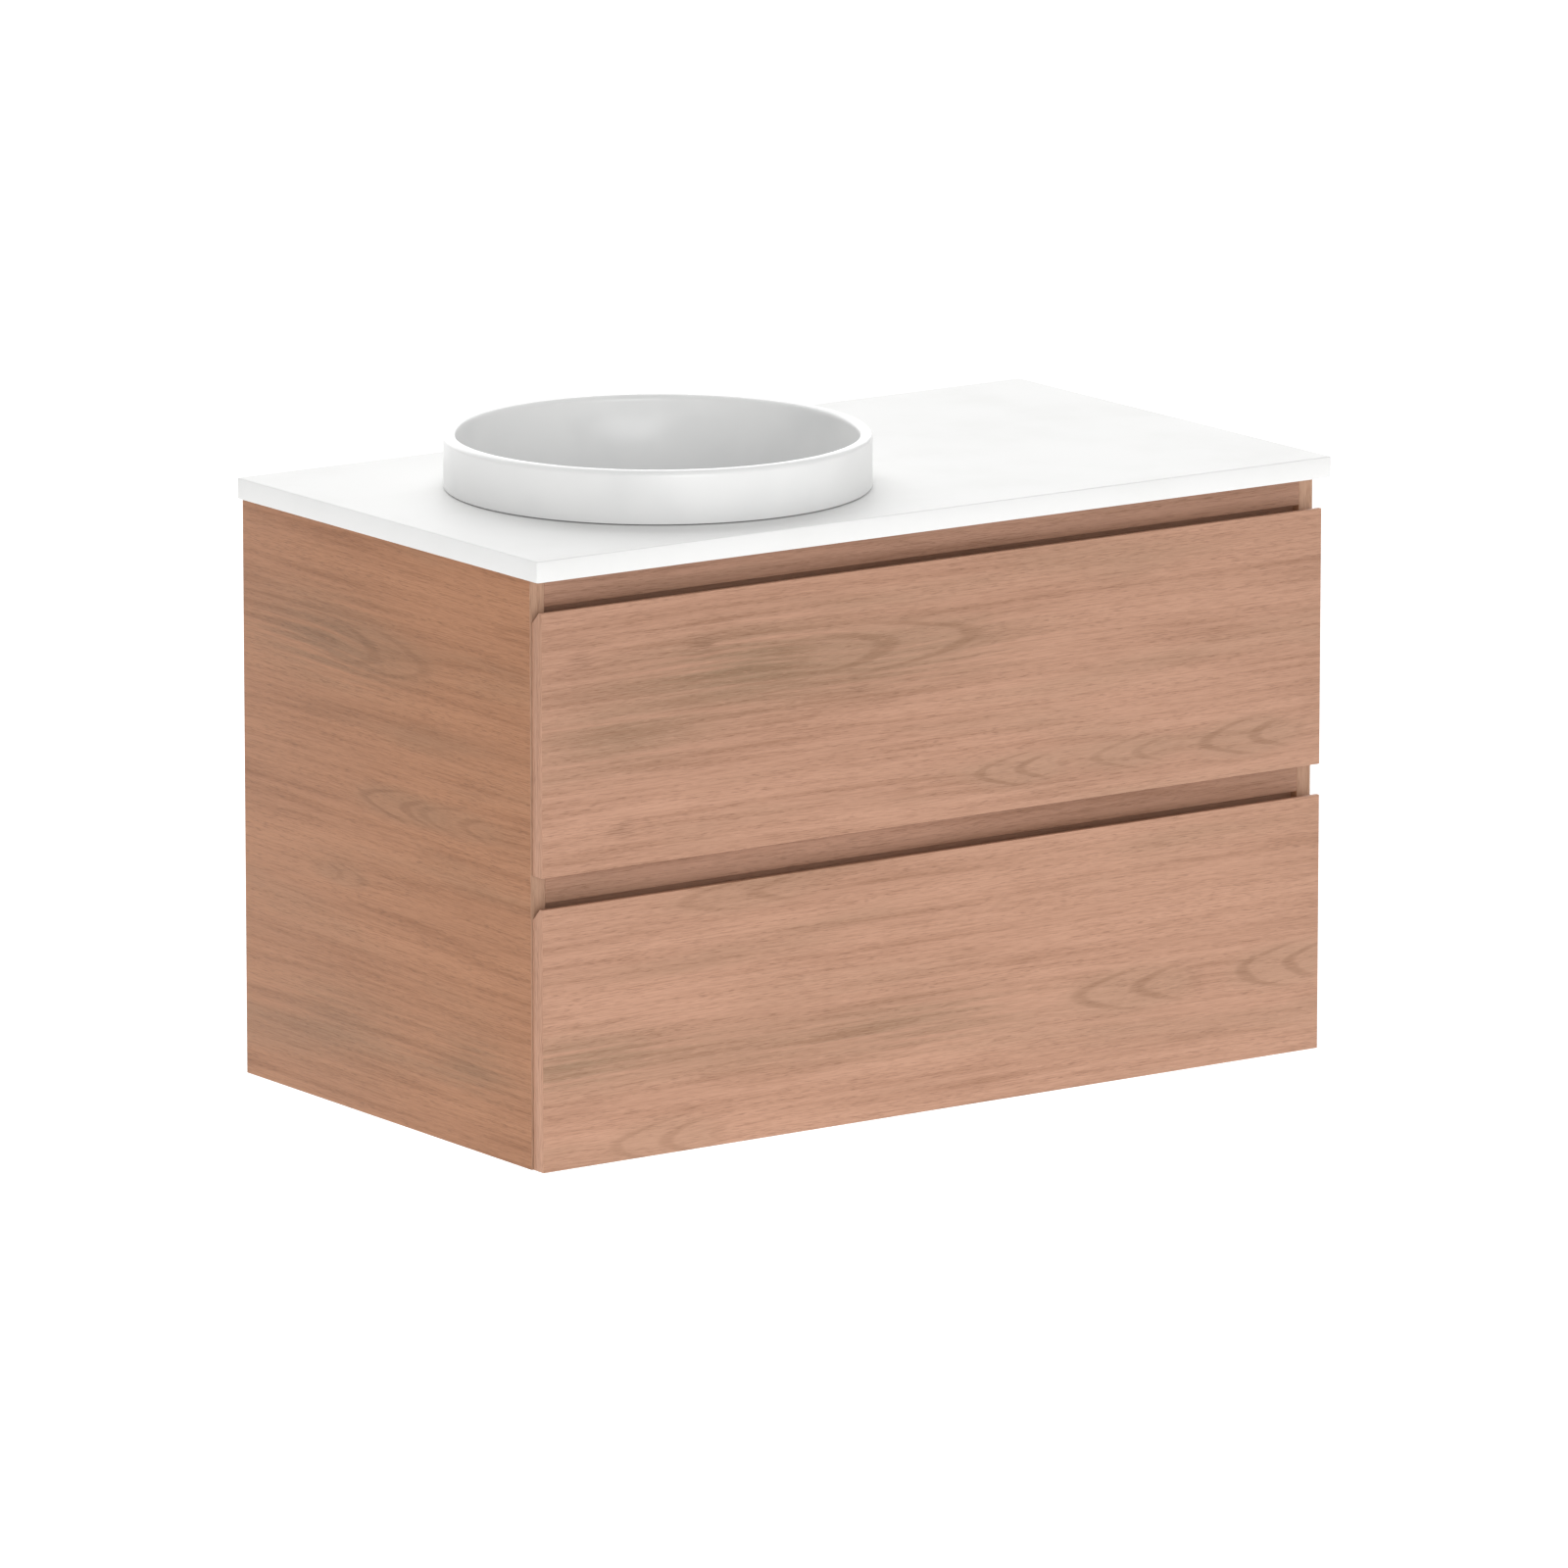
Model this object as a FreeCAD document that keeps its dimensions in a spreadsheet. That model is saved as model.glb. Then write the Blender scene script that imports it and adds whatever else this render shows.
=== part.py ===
import FreeCAD, Part

import os
import re

import Sketcher

# Wall-hung vanity: a two-drawer carcass with a thin worktop and a round basin let into it.
# Frame: millimetres, +Z up, +X to the right, front towards -Y. The origin is the centre of the
# bottom: the wall plane is at +worktop_depth / 2 and the underside of the carcass at zero.

Vector = FreeCAD.Vector

DIMENSIONS = {
    # Worktop
    "worktop_width": 900,
    "worktop_depth": 500,
    "worktop_thick": 20,
    "cutout_radius": 185,
    # Carcass
    "carcass_width": 888,
    "carcass_depth": 478.4,
    "carcass_height": 550,
    "board": 16,
    "rail_height": 60,
    "rear_rail_height": 100,
    # Drawer fronts
    "front_width": 884.4,
    "front_height": 245.5,
    "front_thick": 16,
    "front_gap": 0.6,
    "finger_gap": 29.5,
    "bevel": 11.5,
    # Basin, heights counted from the top of the worktop
    "basin_x": -150,
    "basin_y": -6,
    "basin_radius": 199.5,
    "basin_wall": 12,
    "basin_rise": 51,
    "basin_lip": 5.9,
    "recess_radius": 182,
    "bowl_floor": 70,
    "bowl_under": 86,
    "bowl_turn": 14,
    "bowl_shoulder": 30,
    "bowl_knee_radius": 96,
    "bowl_knee_drop": 64,
    "bowl_round": 30,
    "under_radius": 80,
    "under_drop": 28,
    "under_round": 20,
    "seal_inner": 186,
    "seal_outer": 194,
    "seal_high": 2,
    # Waste and trap
    "waste_hole": 22.5,
    "waste_radius": 21,
    "waste_bore": 17,
    "waste_length": 75,
    "flange_radius": 33,
    "flange_thick": 3,
    "flange_play": 1,
    "flange_dish": 6,
    "gasket": 1.5,
    "washer_thick": 4,
    "waste_nut_high": 10,
    "spider_drop": 24,
    "spider_thick": 3,
    "hub_radius": 9,
    "stem_radius": 5,
    "stem_clearance": 0.05,
    "spider_hole": 3,
    "plug_radius": 30,
    "plug_thick": 4,
    "plug_edge": 1.5,
    "plug_shoulder": 6,
    "plug_crown": 5.5,
    "plug_gap": 0.5,
    "plug_stem": 40,
    "pipe_radius": 16,
    "pipe_bore": 14.5,
    "pipe_fit": 0.2,
    "collar_radius": 20.5,
    "collar_thick": 2,
    "union_radius": 27,
    "union_high": 24,
    "union_below": 12,
    "tail_foot": 330,
    "trap_radius": 31,
    "trap_bore": 28,
    "trap_foot": 318,
    "trap_top": 374,
    "trap_roof": 3,
    "neck_radius": 20,
    "neck_high": 17,
    "nut_radius": 25,
    "nut_high": 22,
    "nut_cover": 16,
    "outlet_z": 352,
    "stub_length": 50,
    "cup_radius": 34,
    "cup_foot": 300,
    "cup_floor": 4,
    "cup_high": 27,
    "cup_chamfer": 6,
    "rosette_radius": 35,
    "rosette_thick": 8,
    "rosette_rim": 2,
    "rosette_collar": 3,
    # Drawer boxes
    "side_clearance": 6,
    "drawer_board": 15,
    "drawer_bottom": 12,
    "drawer_back_gap": 32,
    "upper_box_high": 160,
    "lower_box_high": 180,
    "notch_half": 80,
    "notch_board": 12,
    "notch_reach": 348,
    # Undermount runners
    "upper_runner_z": 292,
    "lower_runner_z": 18,
    "gauge": 1.5,
    "runner_web": 42,
    "runner_lip": 9,
    "runner_flange": 32,
    "runner_front_gap": 4,
    "runner_length": 450,
    "middle_near": 25,
    "middle_wide": 14,
    "middle_foot": 3,
    "middle_high": 9,
    "middle_length": 426,
    "middle_setback": 16,
    "member_near": 22,
    "member_wide": 20,
    "member_leg_near": 28.5,
    "member_leg_wide": 7,
    "member_foot": 6,
    "member_top": 15,
    "member_length": 426,
    "member_setback": 3,
    "box_foot": 4,
    # Front catches and their release levers
    "catch_near": 44,
    "catch_wide": 22,
    "catch_plate": 2,
    "catch_long": 66,
    "catch_front": 13,
    "catch_block": 25,
    "catch_foot": 3,
    "pin_radius": 2,
    "pin_fit": 0.05,
    "pin_back": 39,
    "lever_half": 5,
    "lever_reach": 26,
    "lever_foot": 5,
    "lever_high": 7.4,
    # Fasteners and fittings
    "overcut": 1,
    "screw_radius": 2.2,
    "head_radius": 4.5,
    "head_thick": 2.2,
    "head_neck_radius": 3.2,
    "front_screw_grip": 12,
    "runner_screw_grip": 11,
    "front_screw_x": 300,
    "front_screw_drop": 30,
    "runner_screw_up": 22,
    "cam_radius": 7.5,
    "cam_deep": 12.5,
    "cam_inset": 34,
    "cam_slot_wide": 2,
    "cam_slot_deep": 2,
    "rear_cam_up": 10,
    "low_cam_up": 25,
    "bottom_cam_inset": 60,
    "bolt_radius": 4.5,
    "bolt_x": 380,
    "upper_bolt_z": 500,
    "lower_bolt_z": 66,
    "bracket_gauge": 2.5,
    "bracket_leg": 60,
    "bracket_high": 60,
    "bracket_foot": 470,
    "bracket_screw_back": 46,
    "bracket_screw_rise": 15,
}

doc = FreeCAD.newDocument("Vanity")
sheet = doc.addObject("Spreadsheet::Sheet", "Dims")
for row, (alias, size) in enumerate(DIMENSIONS.items(), start=1):
    sheet.set(f"A{row}", alias)
    sheet.set(f"B{row}", str(size))
    sheet.setAlias(f"B{row}", alias)
doc.recompute()

# Places used more than once, as expressions on the sheet
WALL = "worktop_depth / 2"
INNER = "(carcass_width / 2 - board)"
CARCASS_FRONT = f"({WALL} - carcass_depth)"
FRONT_BACK = f"({CARCASS_FRONT} - front_gap)"
WORKTOP_TOP = "(carcass_height + worktop_thick)"
UPPER_FRONT_Z = "(front_height + finger_gap)"
MIDDLE_RAIL_Z = "(front_height + finger_gap / 2 - rail_height / 2)"
UPPER_RAIL_Z = "(carcass_height - rail_height)"
BOX_OUTER = f"({INNER} - side_clearance)"
BOX_INNER = f"({BOX_OUTER} - drawer_board)"
BOX_BACK = f"({WALL} - drawer_back_gap)"
BOX_DEPTH = f"({BOX_BACK} - {FRONT_BACK})"
FLANGE_TOP = f"({WORKTOP_TOP} - bowl_floor)"
WASTE_FOOT = f"({FLANGE_TOP} - waste_length)"
BOWL_FOOT = f"({WORKTOP_TOP} - bowl_under)"

parts = []


def with_sheet(expression):
    """Put the sheet's name before each of its aliases."""
    return re.sub(
        r"[a-z_]+",
        lambda word: "Dims." + word[0] if word[0] in DIMENSIONS else word[0],
        expression,
    )


def value(expression):
    """The number that an expression has now."""
    return float(sheet.evalExpression(with_sheet(expression)))


def bind(thing, prop, expression):
    """Tie a property to the sheet, or set it where the expression has no alias."""
    thing.setExpression(prop, with_sheet(expression))


def keep(thing, label):
    """List a finished piece under the name of its node."""
    thing.Label = label
    parts.append(thing)
    return thing


def place(thing, x="0", y="0", z="0", turn=None):
    """Put a piece at a place given by expressions, with an optional rotation."""
    if turn is not None:
        thing.Placement = FreeCAD.Placement(Vector(), turn)
    bind(thing, "Placement.Base.x", x)
    bind(thing, "Placement.Base.y", y)
    bind(thing, "Placement.Base.z", z)
    return thing


ALONG_Y = FreeCAD.Rotation(Vector(1, 0, 0), -90)
ALONG_MINUS_Y = FreeCAD.Rotation(Vector(1, 0, 0), 90)
ALONG_X = FreeCAD.Rotation(Vector(0, 1, 0), 90)
ALONG_MINUS_X = FreeCAD.Rotation(Vector(0, 1, 0), -90)


# Sketches and features


def new_body(name):
    return doc.addObject("PartDesign::Body", name)


def new_sketch(body, name, role, offset=None):
    """A sketch on one of the body's own origin planes, moved along its normal by offset."""
    sketch = body.newObject("Sketcher::SketchObject", name)
    plane = next(item for item in body.Origin.OriginFeatures if item.Role == role)
    sketch.AttachmentSupport = [(plane, "")]
    sketch.MapMode = "FlatFace"
    if offset is not None:
        bind(sketch, "AttachmentOffset.Base.z", offset)
    return sketch


def dimension(sketch, kind, geometry, point, expression, name):
    """Constrain a point's distance from the sketch's origin."""
    index = sketch.addConstraint(
        Sketcher.Constraint(kind, -1, 1, geometry, point, value(expression))
    )
    sketch.renameConstraint(index, name)
    bind(sketch, f"Constraints.{name}", expression)


def draw_outline(sketch, corners, prefix="corner"):
    """A closed outline of straight sides through the corners, each an (x, y) of expressions."""
    points = [Vector(value(x), value(y), 0) for x, y in corners]
    sides = [
        sketch.addGeometry(Part.LineSegment(start, end), False)
        for start, end in zip(points, points[1:] + points[:1])
    ]
    for index, side in enumerate(sides):
        following = sides[(index + 1) % len(sides)]
        sketch.addConstraint(Sketcher.Constraint("Coincident", side, 2, following, 1))
    for index, (x, y) in enumerate(corners):
        dimension(sketch, "DistanceX", sides[index], 1, x, f"{prefix}{index}x")
        dimension(sketch, "DistanceY", sides[index], 1, y, f"{prefix}{index}y")


def draw_circle(sketch, x, y, radius, name):
    """A circle whose centre and radius are expressions."""
    circle = sketch.addGeometry(
        Part.Circle(Vector(value(x), value(y), 0), Vector(0, 0, 1), value(radius)), False
    )
    dimension(sketch, "DistanceX", circle, 3, x, f"{name}x")
    dimension(sketch, "DistanceY", circle, 3, y, f"{name}y")
    index = sketch.addConstraint(Sketcher.Constraint("Radius", circle, value(radius)))
    sketch.renameConstraint(index, f"{name}r")
    bind(sketch, f"Constraints.{name}r", radius)


def pad(body, sketch, length, backwards=False):
    feature = body.newObject("PartDesign::Pad", sketch.Name + "Pad")
    feature.Profile = sketch
    feature.Reversed = backwards
    bind(feature, "Length", length)
    return feature


def cut_both_ways(body, sketch, depth):
    """A pocket that reaches depth to each side of its sketch."""
    feature = body.newObject("PartDesign::Pocket", sketch.Name + "Pocket")
    feature.Profile = sketch
    feature.Midplane = True
    bind(feature, "Length", f"2 * ({depth})")
    return feature


def turn_about_axis(body, sketch, kind="Revolution"):
    """A full revolution, or a full groove, about the sketch's vertical axis."""
    feature = body.newObject(f"PartDesign::{kind}", sketch.Name + kind)
    feature.Profile = sketch
    feature.ReferenceAxis = (sketch, ["V_Axis"])
    feature.Angle = 360
    return feature


def turned(name, outline):
    """A body turned from an outline of (radius, height) corners, standing at its own origin."""
    body = new_body(name)
    sketch = new_sketch(body, name + "Outline", "XZ_Plane")
    draw_outline(sketch, outline)
    turn_about_axis(body, sketch)
    return body


def ring(name, inner, outer, low, high):
    """A plain ring between two radii and two heights."""
    return turned(name, [(inner, low), (outer, low), (outer, high), (inner, high)])


# Boards

BOARD_PLANES = {"x": "YZ_Plane", "y": "XZ_Plane", "z": "XY_Plane"}


def board(label, normal, size, corner, holes=(), recesses=()):
    """A board with one corner at its own origin, its thickness along normal.

    size is (x, y, z) and corner the place of its lowest corner. holes go right through along
    normal, each (u, v, radius) in the plane of the board. recesses are blind holes in a face:
    (plane, offset of that face, u, v, radius, depth).
    """
    body = new_body(label)
    wide, high = {"x": (1, 2), "y": (0, 2), "z": (0, 1)}[normal]
    thick = {"x": 0, "y": 1, "z": 2}[normal]
    sketch = new_sketch(body, label + "_face", BOARD_PLANES[normal])
    outline = [("0", "0"), (size[wide], "0"), (size[wide], size[high]), ("0", size[high])]
    draw_outline(sketch, outline)
    for index, (u, v, radius) in enumerate(holes):
        draw_circle(sketch, u, v, radius, f"hole{index}")
    pad(body, sketch, size[thick], backwards=normal == "y")
    for index, (plane, offset, u, v, radius, depth) in enumerate(recesses):
        face = new_sketch(body, f"{label}_recess{index}", BOARD_PLANES[plane], offset)
        draw_circle(face, u, v, radius, "recess")
        cut_both_ways(body, face, depth)
    place(body, *corner)
    return keep(body, label)


def screw(name, x, y, z, length, turn):
    """A pan-head screw: the underside of its head at the place, its shank along turn."""
    shank = doc.addObject("Part::Cylinder", name + "_shank")
    bind(shank, "Radius", "screw_radius")
    bind(shank, "Height", length)
    head = doc.addObject("Part::Cone", name + "_head")
    bind(head, "Radius1", "head_neck_radius")
    bind(head, "Radius2", "head_radius")
    bind(head, "Height", "head_thick")
    bind(head, "Placement.Base.z", "-head_thick")
    whole = doc.addObject("Part::MultiFuse", name)
    whole.Shapes = [shank, head]
    return place(whole, x, y, z, turn)


def group(label, things):
    """Separate solids of one kind, kept as one node."""
    compound = doc.addObject("Part::Compound", label)
    compound.Links = things
    return keep(compound, label)


SIDES = {"left": "-1", "right": "1"}

# Carcass

RUNNER_LEVELS = {"upper": "upper_runner_z", "lower": "lower_runner_z"}
RUNNER_START = f"({CARCASS_FRONT} + runner_front_gap)"
RUNNER_SCREW_STEPS = ("0.08", "0.5", "0.92")
RUNNER_SCREW_YS = [f"({RUNNER_START} + runner_length * {step})" for step in RUNNER_SCREW_STEPS]
BRACKET_SCREW_Y = f"({WALL} - bracket_screw_back)"
BRACKET_SCREW_ZS = [
    f"(bracket_foot + bracket_high / 2 {sign} bracket_screw_rise)" for sign in "+-"
]

for side in SIDES:
    inner_face = "board" if side == "left" else "0"
    grip_points = [
        (f"{y} - {CARCASS_FRONT}", f"{level} + runner_screw_up", "runner_screw_grip")
        for level in RUNNER_LEVELS.values()
        for y in RUNNER_SCREW_YS
    ]
    grip_points += [
        (f"{BRACKET_SCREW_Y} - {CARCASS_FRONT}", z, "runner_screw_grip")
        for z in BRACKET_SCREW_ZS
    ]
    board(
        f"side_panel_{side}",
        "x",
        ("board", "carcass_depth", "carcass_height"),
        ("-carcass_width / 2" if side == "left" else INNER, CARCASS_FRONT, "0"),
        recesses=[
            ("x", inner_face, u, v, "screw_radius", depth) for u, v, depth in grip_points
        ],
    )

CAM_X = f"({INNER} - cam_inset)"
cam_places = []


def rail(label, y, z, high, cam_face, cam_up, bolts=()):
    """A cross rail between the side panels with a cam lock near each end."""
    cam_u = ["cam_inset", f"2 * {INNER} - cam_inset"]
    offset = "-board" if cam_face == "back" else "0"
    board(
        label,
        "y",
        (f"2 * {INNER}", "board", high),
        (f"-{INNER}", y, z),
        holes=[(f"{INNER} {sign} bolt_x", f"{bolt_z} - {z}", "bolt_radius")
               for bolt_z in bolts for sign in "+-"],
        recesses=[("y", offset, u, cam_up, "cam_radius", "cam_deep") for u in cam_u],
    )
    face_y = f"({y} + board)" if cam_face == "back" else y
    turn = ALONG_MINUS_Y if cam_face == "back" else ALONG_Y
    for sign in ("-", ""):
        cam_places.append((f"{sign}{CAM_X}", face_y, f"{z} + {cam_up}", turn))


rail("front_rail_upper", CARCASS_FRONT, UPPER_RAIL_Z, "rail_height", "back", "rail_height / 2")
rail("front_rail_middle", CARCASS_FRONT, MIDDLE_RAIL_Z, "rail_height", "back", "rail_height / 2")
rail("rear_rail_upper", f"{WALL} - board", "(carcass_height - rear_rail_height)",
     "rear_rail_height", "front", "rear_cam_up", ["upper_bolt_z"])
rail("rear_rail_lower", f"{WALL} - board", "board",
     "rear_rail_height", "front", "low_cam_up", ["lower_bolt_z"])

bottom_cams = [
    (u, v)
    for u in ("cam_inset", f"2 * {INNER} - cam_inset")
    for v in ("bottom_cam_inset", "carcass_depth - bottom_cam_inset")
]
board(
    "bottom_panel",
    "z",
    (f"2 * {INNER}", "carcass_depth", "board"),
    (f"-{INNER}", CARCASS_FRONT, "0"),
    recesses=[("z", "board", u, v, "cam_radius", "cam_deep") for u, v in bottom_cams],
)
for u, v in bottom_cams:
    downwards = FreeCAD.Rotation(Vector(1, 0, 0), 180)
    cam_places.append((f"{u} - {INNER}", f"{v} + {CARCASS_FRONT}", "board", downwards))


def cam_lock(name, x, y, z, turn):
    """A slotted disc sunk in a board; its own +Z runs into the board."""
    disc = doc.addObject("Part::Cylinder", name + "_disc")
    bind(disc, "Radius", "cam_radius")
    bind(disc, "Height", "cam_deep")
    slot = doc.addObject("Part::Box", name + "_slot")
    bind(slot, "Length", "2 * cam_radius")
    bind(slot, "Width", "cam_slot_wide")
    bind(slot, "Height", "cam_slot_deep")
    place(slot, "-cam_radius", "-cam_slot_wide / 2", "0")
    lock = doc.addObject("Part::Cut", name)
    lock.Base = disc
    lock.Tool = slot
    return place(lock, x, y, z, turn)


group("cam_locks", [cam_lock(f"cam{index}", *spot) for index, spot in enumerate(cam_places)])


def hanger_bracket(side, hand):
    """An angle plate in the upper rear corner, its rear leg bored for a wall bolt."""
    body = new_body(f"bracket_{side}")
    sketch = new_sketch(body, f"bracket_{side}_angle", "XY_Plane")
    outer_x = f"{hand} * {INNER}"
    inner_x = f"{hand} * ({INNER} - bracket_gauge)"
    leg_x = f"{hand} * ({INNER} - bracket_leg)"
    back_y = f"{WALL} - board"
    draw_outline(sketch, [
        (outer_x, f"{back_y} - bracket_leg"),
        (outer_x, back_y),
        (leg_x, back_y),
        (leg_x, f"{back_y} - bracket_gauge"),
        (inner_x, f"{back_y} - bracket_gauge"),
        (inner_x, f"{back_y} - bracket_leg"),
    ])
    pad(body, sketch, "bracket_high")
    bolt = new_sketch(body, f"bracket_{side}_bolt", "XZ_Plane", f"-({back_y})")
    draw_circle(bolt, f"{hand} * bolt_x", "upper_bolt_z - bracket_foot", "bolt_radius", "bolt")
    cut_both_ways(body, bolt, "2 * bracket_gauge")
    grips = new_sketch(body, f"bracket_{side}_grips", "YZ_Plane", outer_x)
    for index, z in enumerate(BRACKET_SCREW_ZS):
        draw_circle(grips, BRACKET_SCREW_Y, f"{z} - bracket_foot", "screw_radius", f"grip{index}")
    cut_both_ways(body, grips, "2 * bracket_gauge")
    return place(body, z="bracket_foot")


group("hanger_brackets", [hanger_bracket(side, hand) for side, hand in SIDES.items()])

bracket_screws = []
runner_screws = []
for side, hand in SIDES.items():
    outwards = ALONG_MINUS_X if side == "left" else ALONG_X
    for index, z in enumerate(BRACKET_SCREW_ZS):
        bracket_screws.append(screw(
            f"bracket_screw_{side}{index}", f"{hand} * ({INNER} - bracket_gauge)",
            BRACKET_SCREW_Y, z, "bracket_gauge + runner_screw_grip", outwards))
    for level, level_z in RUNNER_LEVELS.items():
        for index, y in enumerate(RUNNER_SCREW_YS):
            runner_screws.append(screw(
                f"runner_screw_{level}_{side}{index}", f"{hand} * ({INNER} - gauge)",
                y, f"{level_z} + runner_screw_up", "gauge + runner_screw_grip", outwards))
group("bracket_screws", bracket_screws)
group("runner_screws", runner_screws)

# Worktop with the round cut-out for the basin

worktop = new_body("worktop")
worktop_face = new_sketch(worktop, "worktop_face", "XY_Plane")
draw_outline(worktop_face, [
    ("-worktop_width / 2", "-worktop_depth / 2"),
    ("worktop_width / 2", "-worktop_depth / 2"),
    ("worktop_width / 2", "worktop_depth / 2"),
    ("-worktop_width / 2", "worktop_depth / 2"),
])
draw_circle(worktop_face, "basin_x", "basin_y", "cutout_radius", "cutout")
pad(worktop, worktop_face, "worktop_thick")
place(worktop, z="carcass_height")
keep(worktop, "worktop")


# Basin and what hangs below it, all on the basin's own axis


def on_basin_axis(body, label, z="0"):
    place(body, "basin_x", "basin_y", z)
    return keep(body, label)


RECESS_FLOOR = "-(bowl_floor + flange_thick + gasket)"
basin = turned("basin", [
    ("waste_hole", "-bowl_under"),
    ("under_radius", "-bowl_under"),
    ("recess_radius", "-under_drop"),
    ("recess_radius", "0"),
    ("seal_inner", "0"),
    ("seal_inner", "seal_high"),
    ("seal_outer", "seal_high"),
    ("seal_outer", "0"),
    ("basin_radius", "0"),
    ("basin_radius", "basin_rise"),
    ("basin_radius - basin_wall", "basin_rise"),
    ("basin_radius - basin_wall", "bowl_shoulder"),
    ("recess_radius - basin_wall", "-bowl_turn"),
    ("bowl_knee_radius", "-bowl_knee_drop"),
    ("flange_radius + flange_play", "-bowl_floor"),
    ("flange_radius + flange_play", RECESS_FLOOR),
    ("waste_hole", RECESS_FLOOR),
])
doc.recompute()


def round_edges(body, name, edges, radius):
    """Round the full-circle edges given as (radius, height) pairs of expressions."""
    base = body.Tip
    wanted = [(value(rho), value(height)) for rho, height in edges]
    names = []
    for index, edge in enumerate(base.Shape.Edges, start=1):
        if not isinstance(edge.Curve, Part.Circle):
            continue
        here = (edge.Curve.Radius, edge.Curve.Center.z)
        if any(abs(here[0] - rho) < 0.01 and abs(here[1] - high) < 0.01 for rho, high in wanted):
            names.append(f"Edge{index}")
    if len(names) != len(wanted):
        raise RuntimeError(f"{name}: found {len(names)} of {len(wanted)} edges")
    feature = body.newObject("PartDesign::Fillet", name)
    feature.Base = (base, names)
    bind(feature, "Radius", radius)
    doc.recompute()
    return feature


round_edges(basin, "basin_lip_round", [
    ("basin_radius", "basin_rise"),
    ("basin_radius - basin_wall", "basin_rise"),
], "basin_lip")
round_edges(basin, "basin_bowl_round", [
    ("basin_radius - basin_wall", "bowl_shoulder"),
    ("recess_radius - basin_wall", "-bowl_turn"),
    ("bowl_knee_radius", "-bowl_knee_drop"),
], "bowl_round")
round_edges(basin, "basin_under_round", [
    ("under_radius", "-bowl_under"),
    ("recess_radius", "-under_drop"),
], "under_round")
on_basin_axis(basin, "basin", WORKTOP_TOP)

on_basin_axis(ring("basin_seal", "seal_inner", "seal_outer", "0", "seal_high"),
              "basin_seal", WORKTOP_TOP)
on_basin_axis(ring("waste_seal", "waste_radius", "flange_radius", "0", "gasket"),
              "waste_seal", f"{FLANGE_TOP} - flange_thick - gasket")
on_basin_axis(ring("waste_washer", "waste_radius", "flange_radius", "0", "washer_thick"),
              "waste_washer", f"{BOWL_FOOT} - washer_thick")

# Waste body: flange, threaded tube, and a spider that guides the plug's stem
waste = turned("waste_body", [
    ("waste_bore", "-waste_length"),
    ("waste_radius", "-waste_length"),
    ("waste_radius", "-flange_thick"),
    ("flange_radius", "-flange_thick"),
    ("flange_radius", "0"),
    ("waste_bore + flange_dish", "0"),
    ("waste_bore", "-flange_thick"),
    ("waste_bore", "-spider_drop"),
    ("stem_radius + stem_clearance", "-spider_drop"),
    ("stem_radius + stem_clearance", "-spider_drop - spider_thick"),
    ("waste_bore", "-spider_drop - spider_thick"),
])
doc.recompute()
spider = new_sketch(waste, "spider_hole", "XY_Plane", "-spider_drop - spider_thick / 2")
draw_circle(spider, "(waste_bore + hub_radius) / 2", "0", "spider_hole", "hole")
spider_pocket = cut_both_ways(waste, spider, "spider_thick")
doc.recompute()
spider_pattern = waste.newObject("PartDesign::PolarPattern", "spider_holes")
spider_pattern.Originals = [spider_pocket]
spider_pattern.Axis = (spider, ["N_Axis"])
spider_pattern.Angle = 360
spider_pattern.Occurrences = 6
waste.Tip = spider_pattern
on_basin_axis(waste, "waste_body", FLANGE_TOP)


def hex_nut(name, across_corners, high, bores, turn=None, at=("0", "0", "0")):
    """A hexagonal nut on +Z, bored by (radius, from, to) steps."""
    prism = doc.addObject("Part::Prism", name + "_hexagon")
    prism.Polygon = 6
    bind(prism, "Circumradius", across_corners)
    bind(prism, "Height", high)
    tools = []
    for index, (radius, low, top) in enumerate(bores):
        bore = doc.addObject("Part::Cylinder", f"{name}_bore{index}")
        bind(bore, "Radius", radius)
        bind(bore, "Height", f"{top} - ({low})")
        bind(bore, "Placement.Base.z", low)
        tools.append(bore)
    joined = tools[0]
    if len(tools) > 1:
        joined = doc.addObject("Part::MultiFuse", name + "_bores")
        joined.Shapes = tools
    nut = doc.addObject("Part::Cut", name)
    nut.Base = prism
    nut.Tool = joined
    place(nut, *at, turn)
    return keep(nut, name)


hex_nut("waste_nut", "flange_radius", "waste_nut_high",
        [("waste_radius", "-overcut", "waste_nut_high + overcut")],
        at=("basin_x", "basin_y", f"{BOWL_FOOT} - washer_thick - waste_nut_high"))

# Click plug: a domed cap on a stem that slides in the spider
on_basin_axis(turned("waste_plug", [
    ("0", "-plug_stem"),
    ("stem_radius", "-plug_stem"),
    ("stem_radius", "0"),
    ("plug_radius - plug_edge", "0"),
    ("plug_radius", "plug_edge"),
    ("plug_radius - plug_shoulder", "plug_thick"),
    ("0", "plug_crown"),
]), "waste_plug", f"{FLANGE_TOP} + plug_gap")

# Tailpiece and its union nut under the waste body
PIPE_SEAT = "pipe_radius + pipe_fit"
on_basin_axis(turned("tailpiece", [
    ("pipe_bore", "tail_foot"),
    ("pipe_radius", "tail_foot"),
    ("pipe_radius", f"{WASTE_FOOT} - collar_thick"),
    ("collar_radius", f"{WASTE_FOOT} - collar_thick"),
    ("collar_radius", WASTE_FOOT),
    ("pipe_bore", WASTE_FOOT),
]), "tailpiece")
hex_nut("union_nut", "union_radius", "union_high", [
    (PIPE_SEAT, "-overcut", "union_below"),
    ("waste_radius", "union_below", "union_high + overcut"),
], at=("basin_x", "basin_y", f"{WASTE_FOOT} - collar_thick - union_below"))

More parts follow.
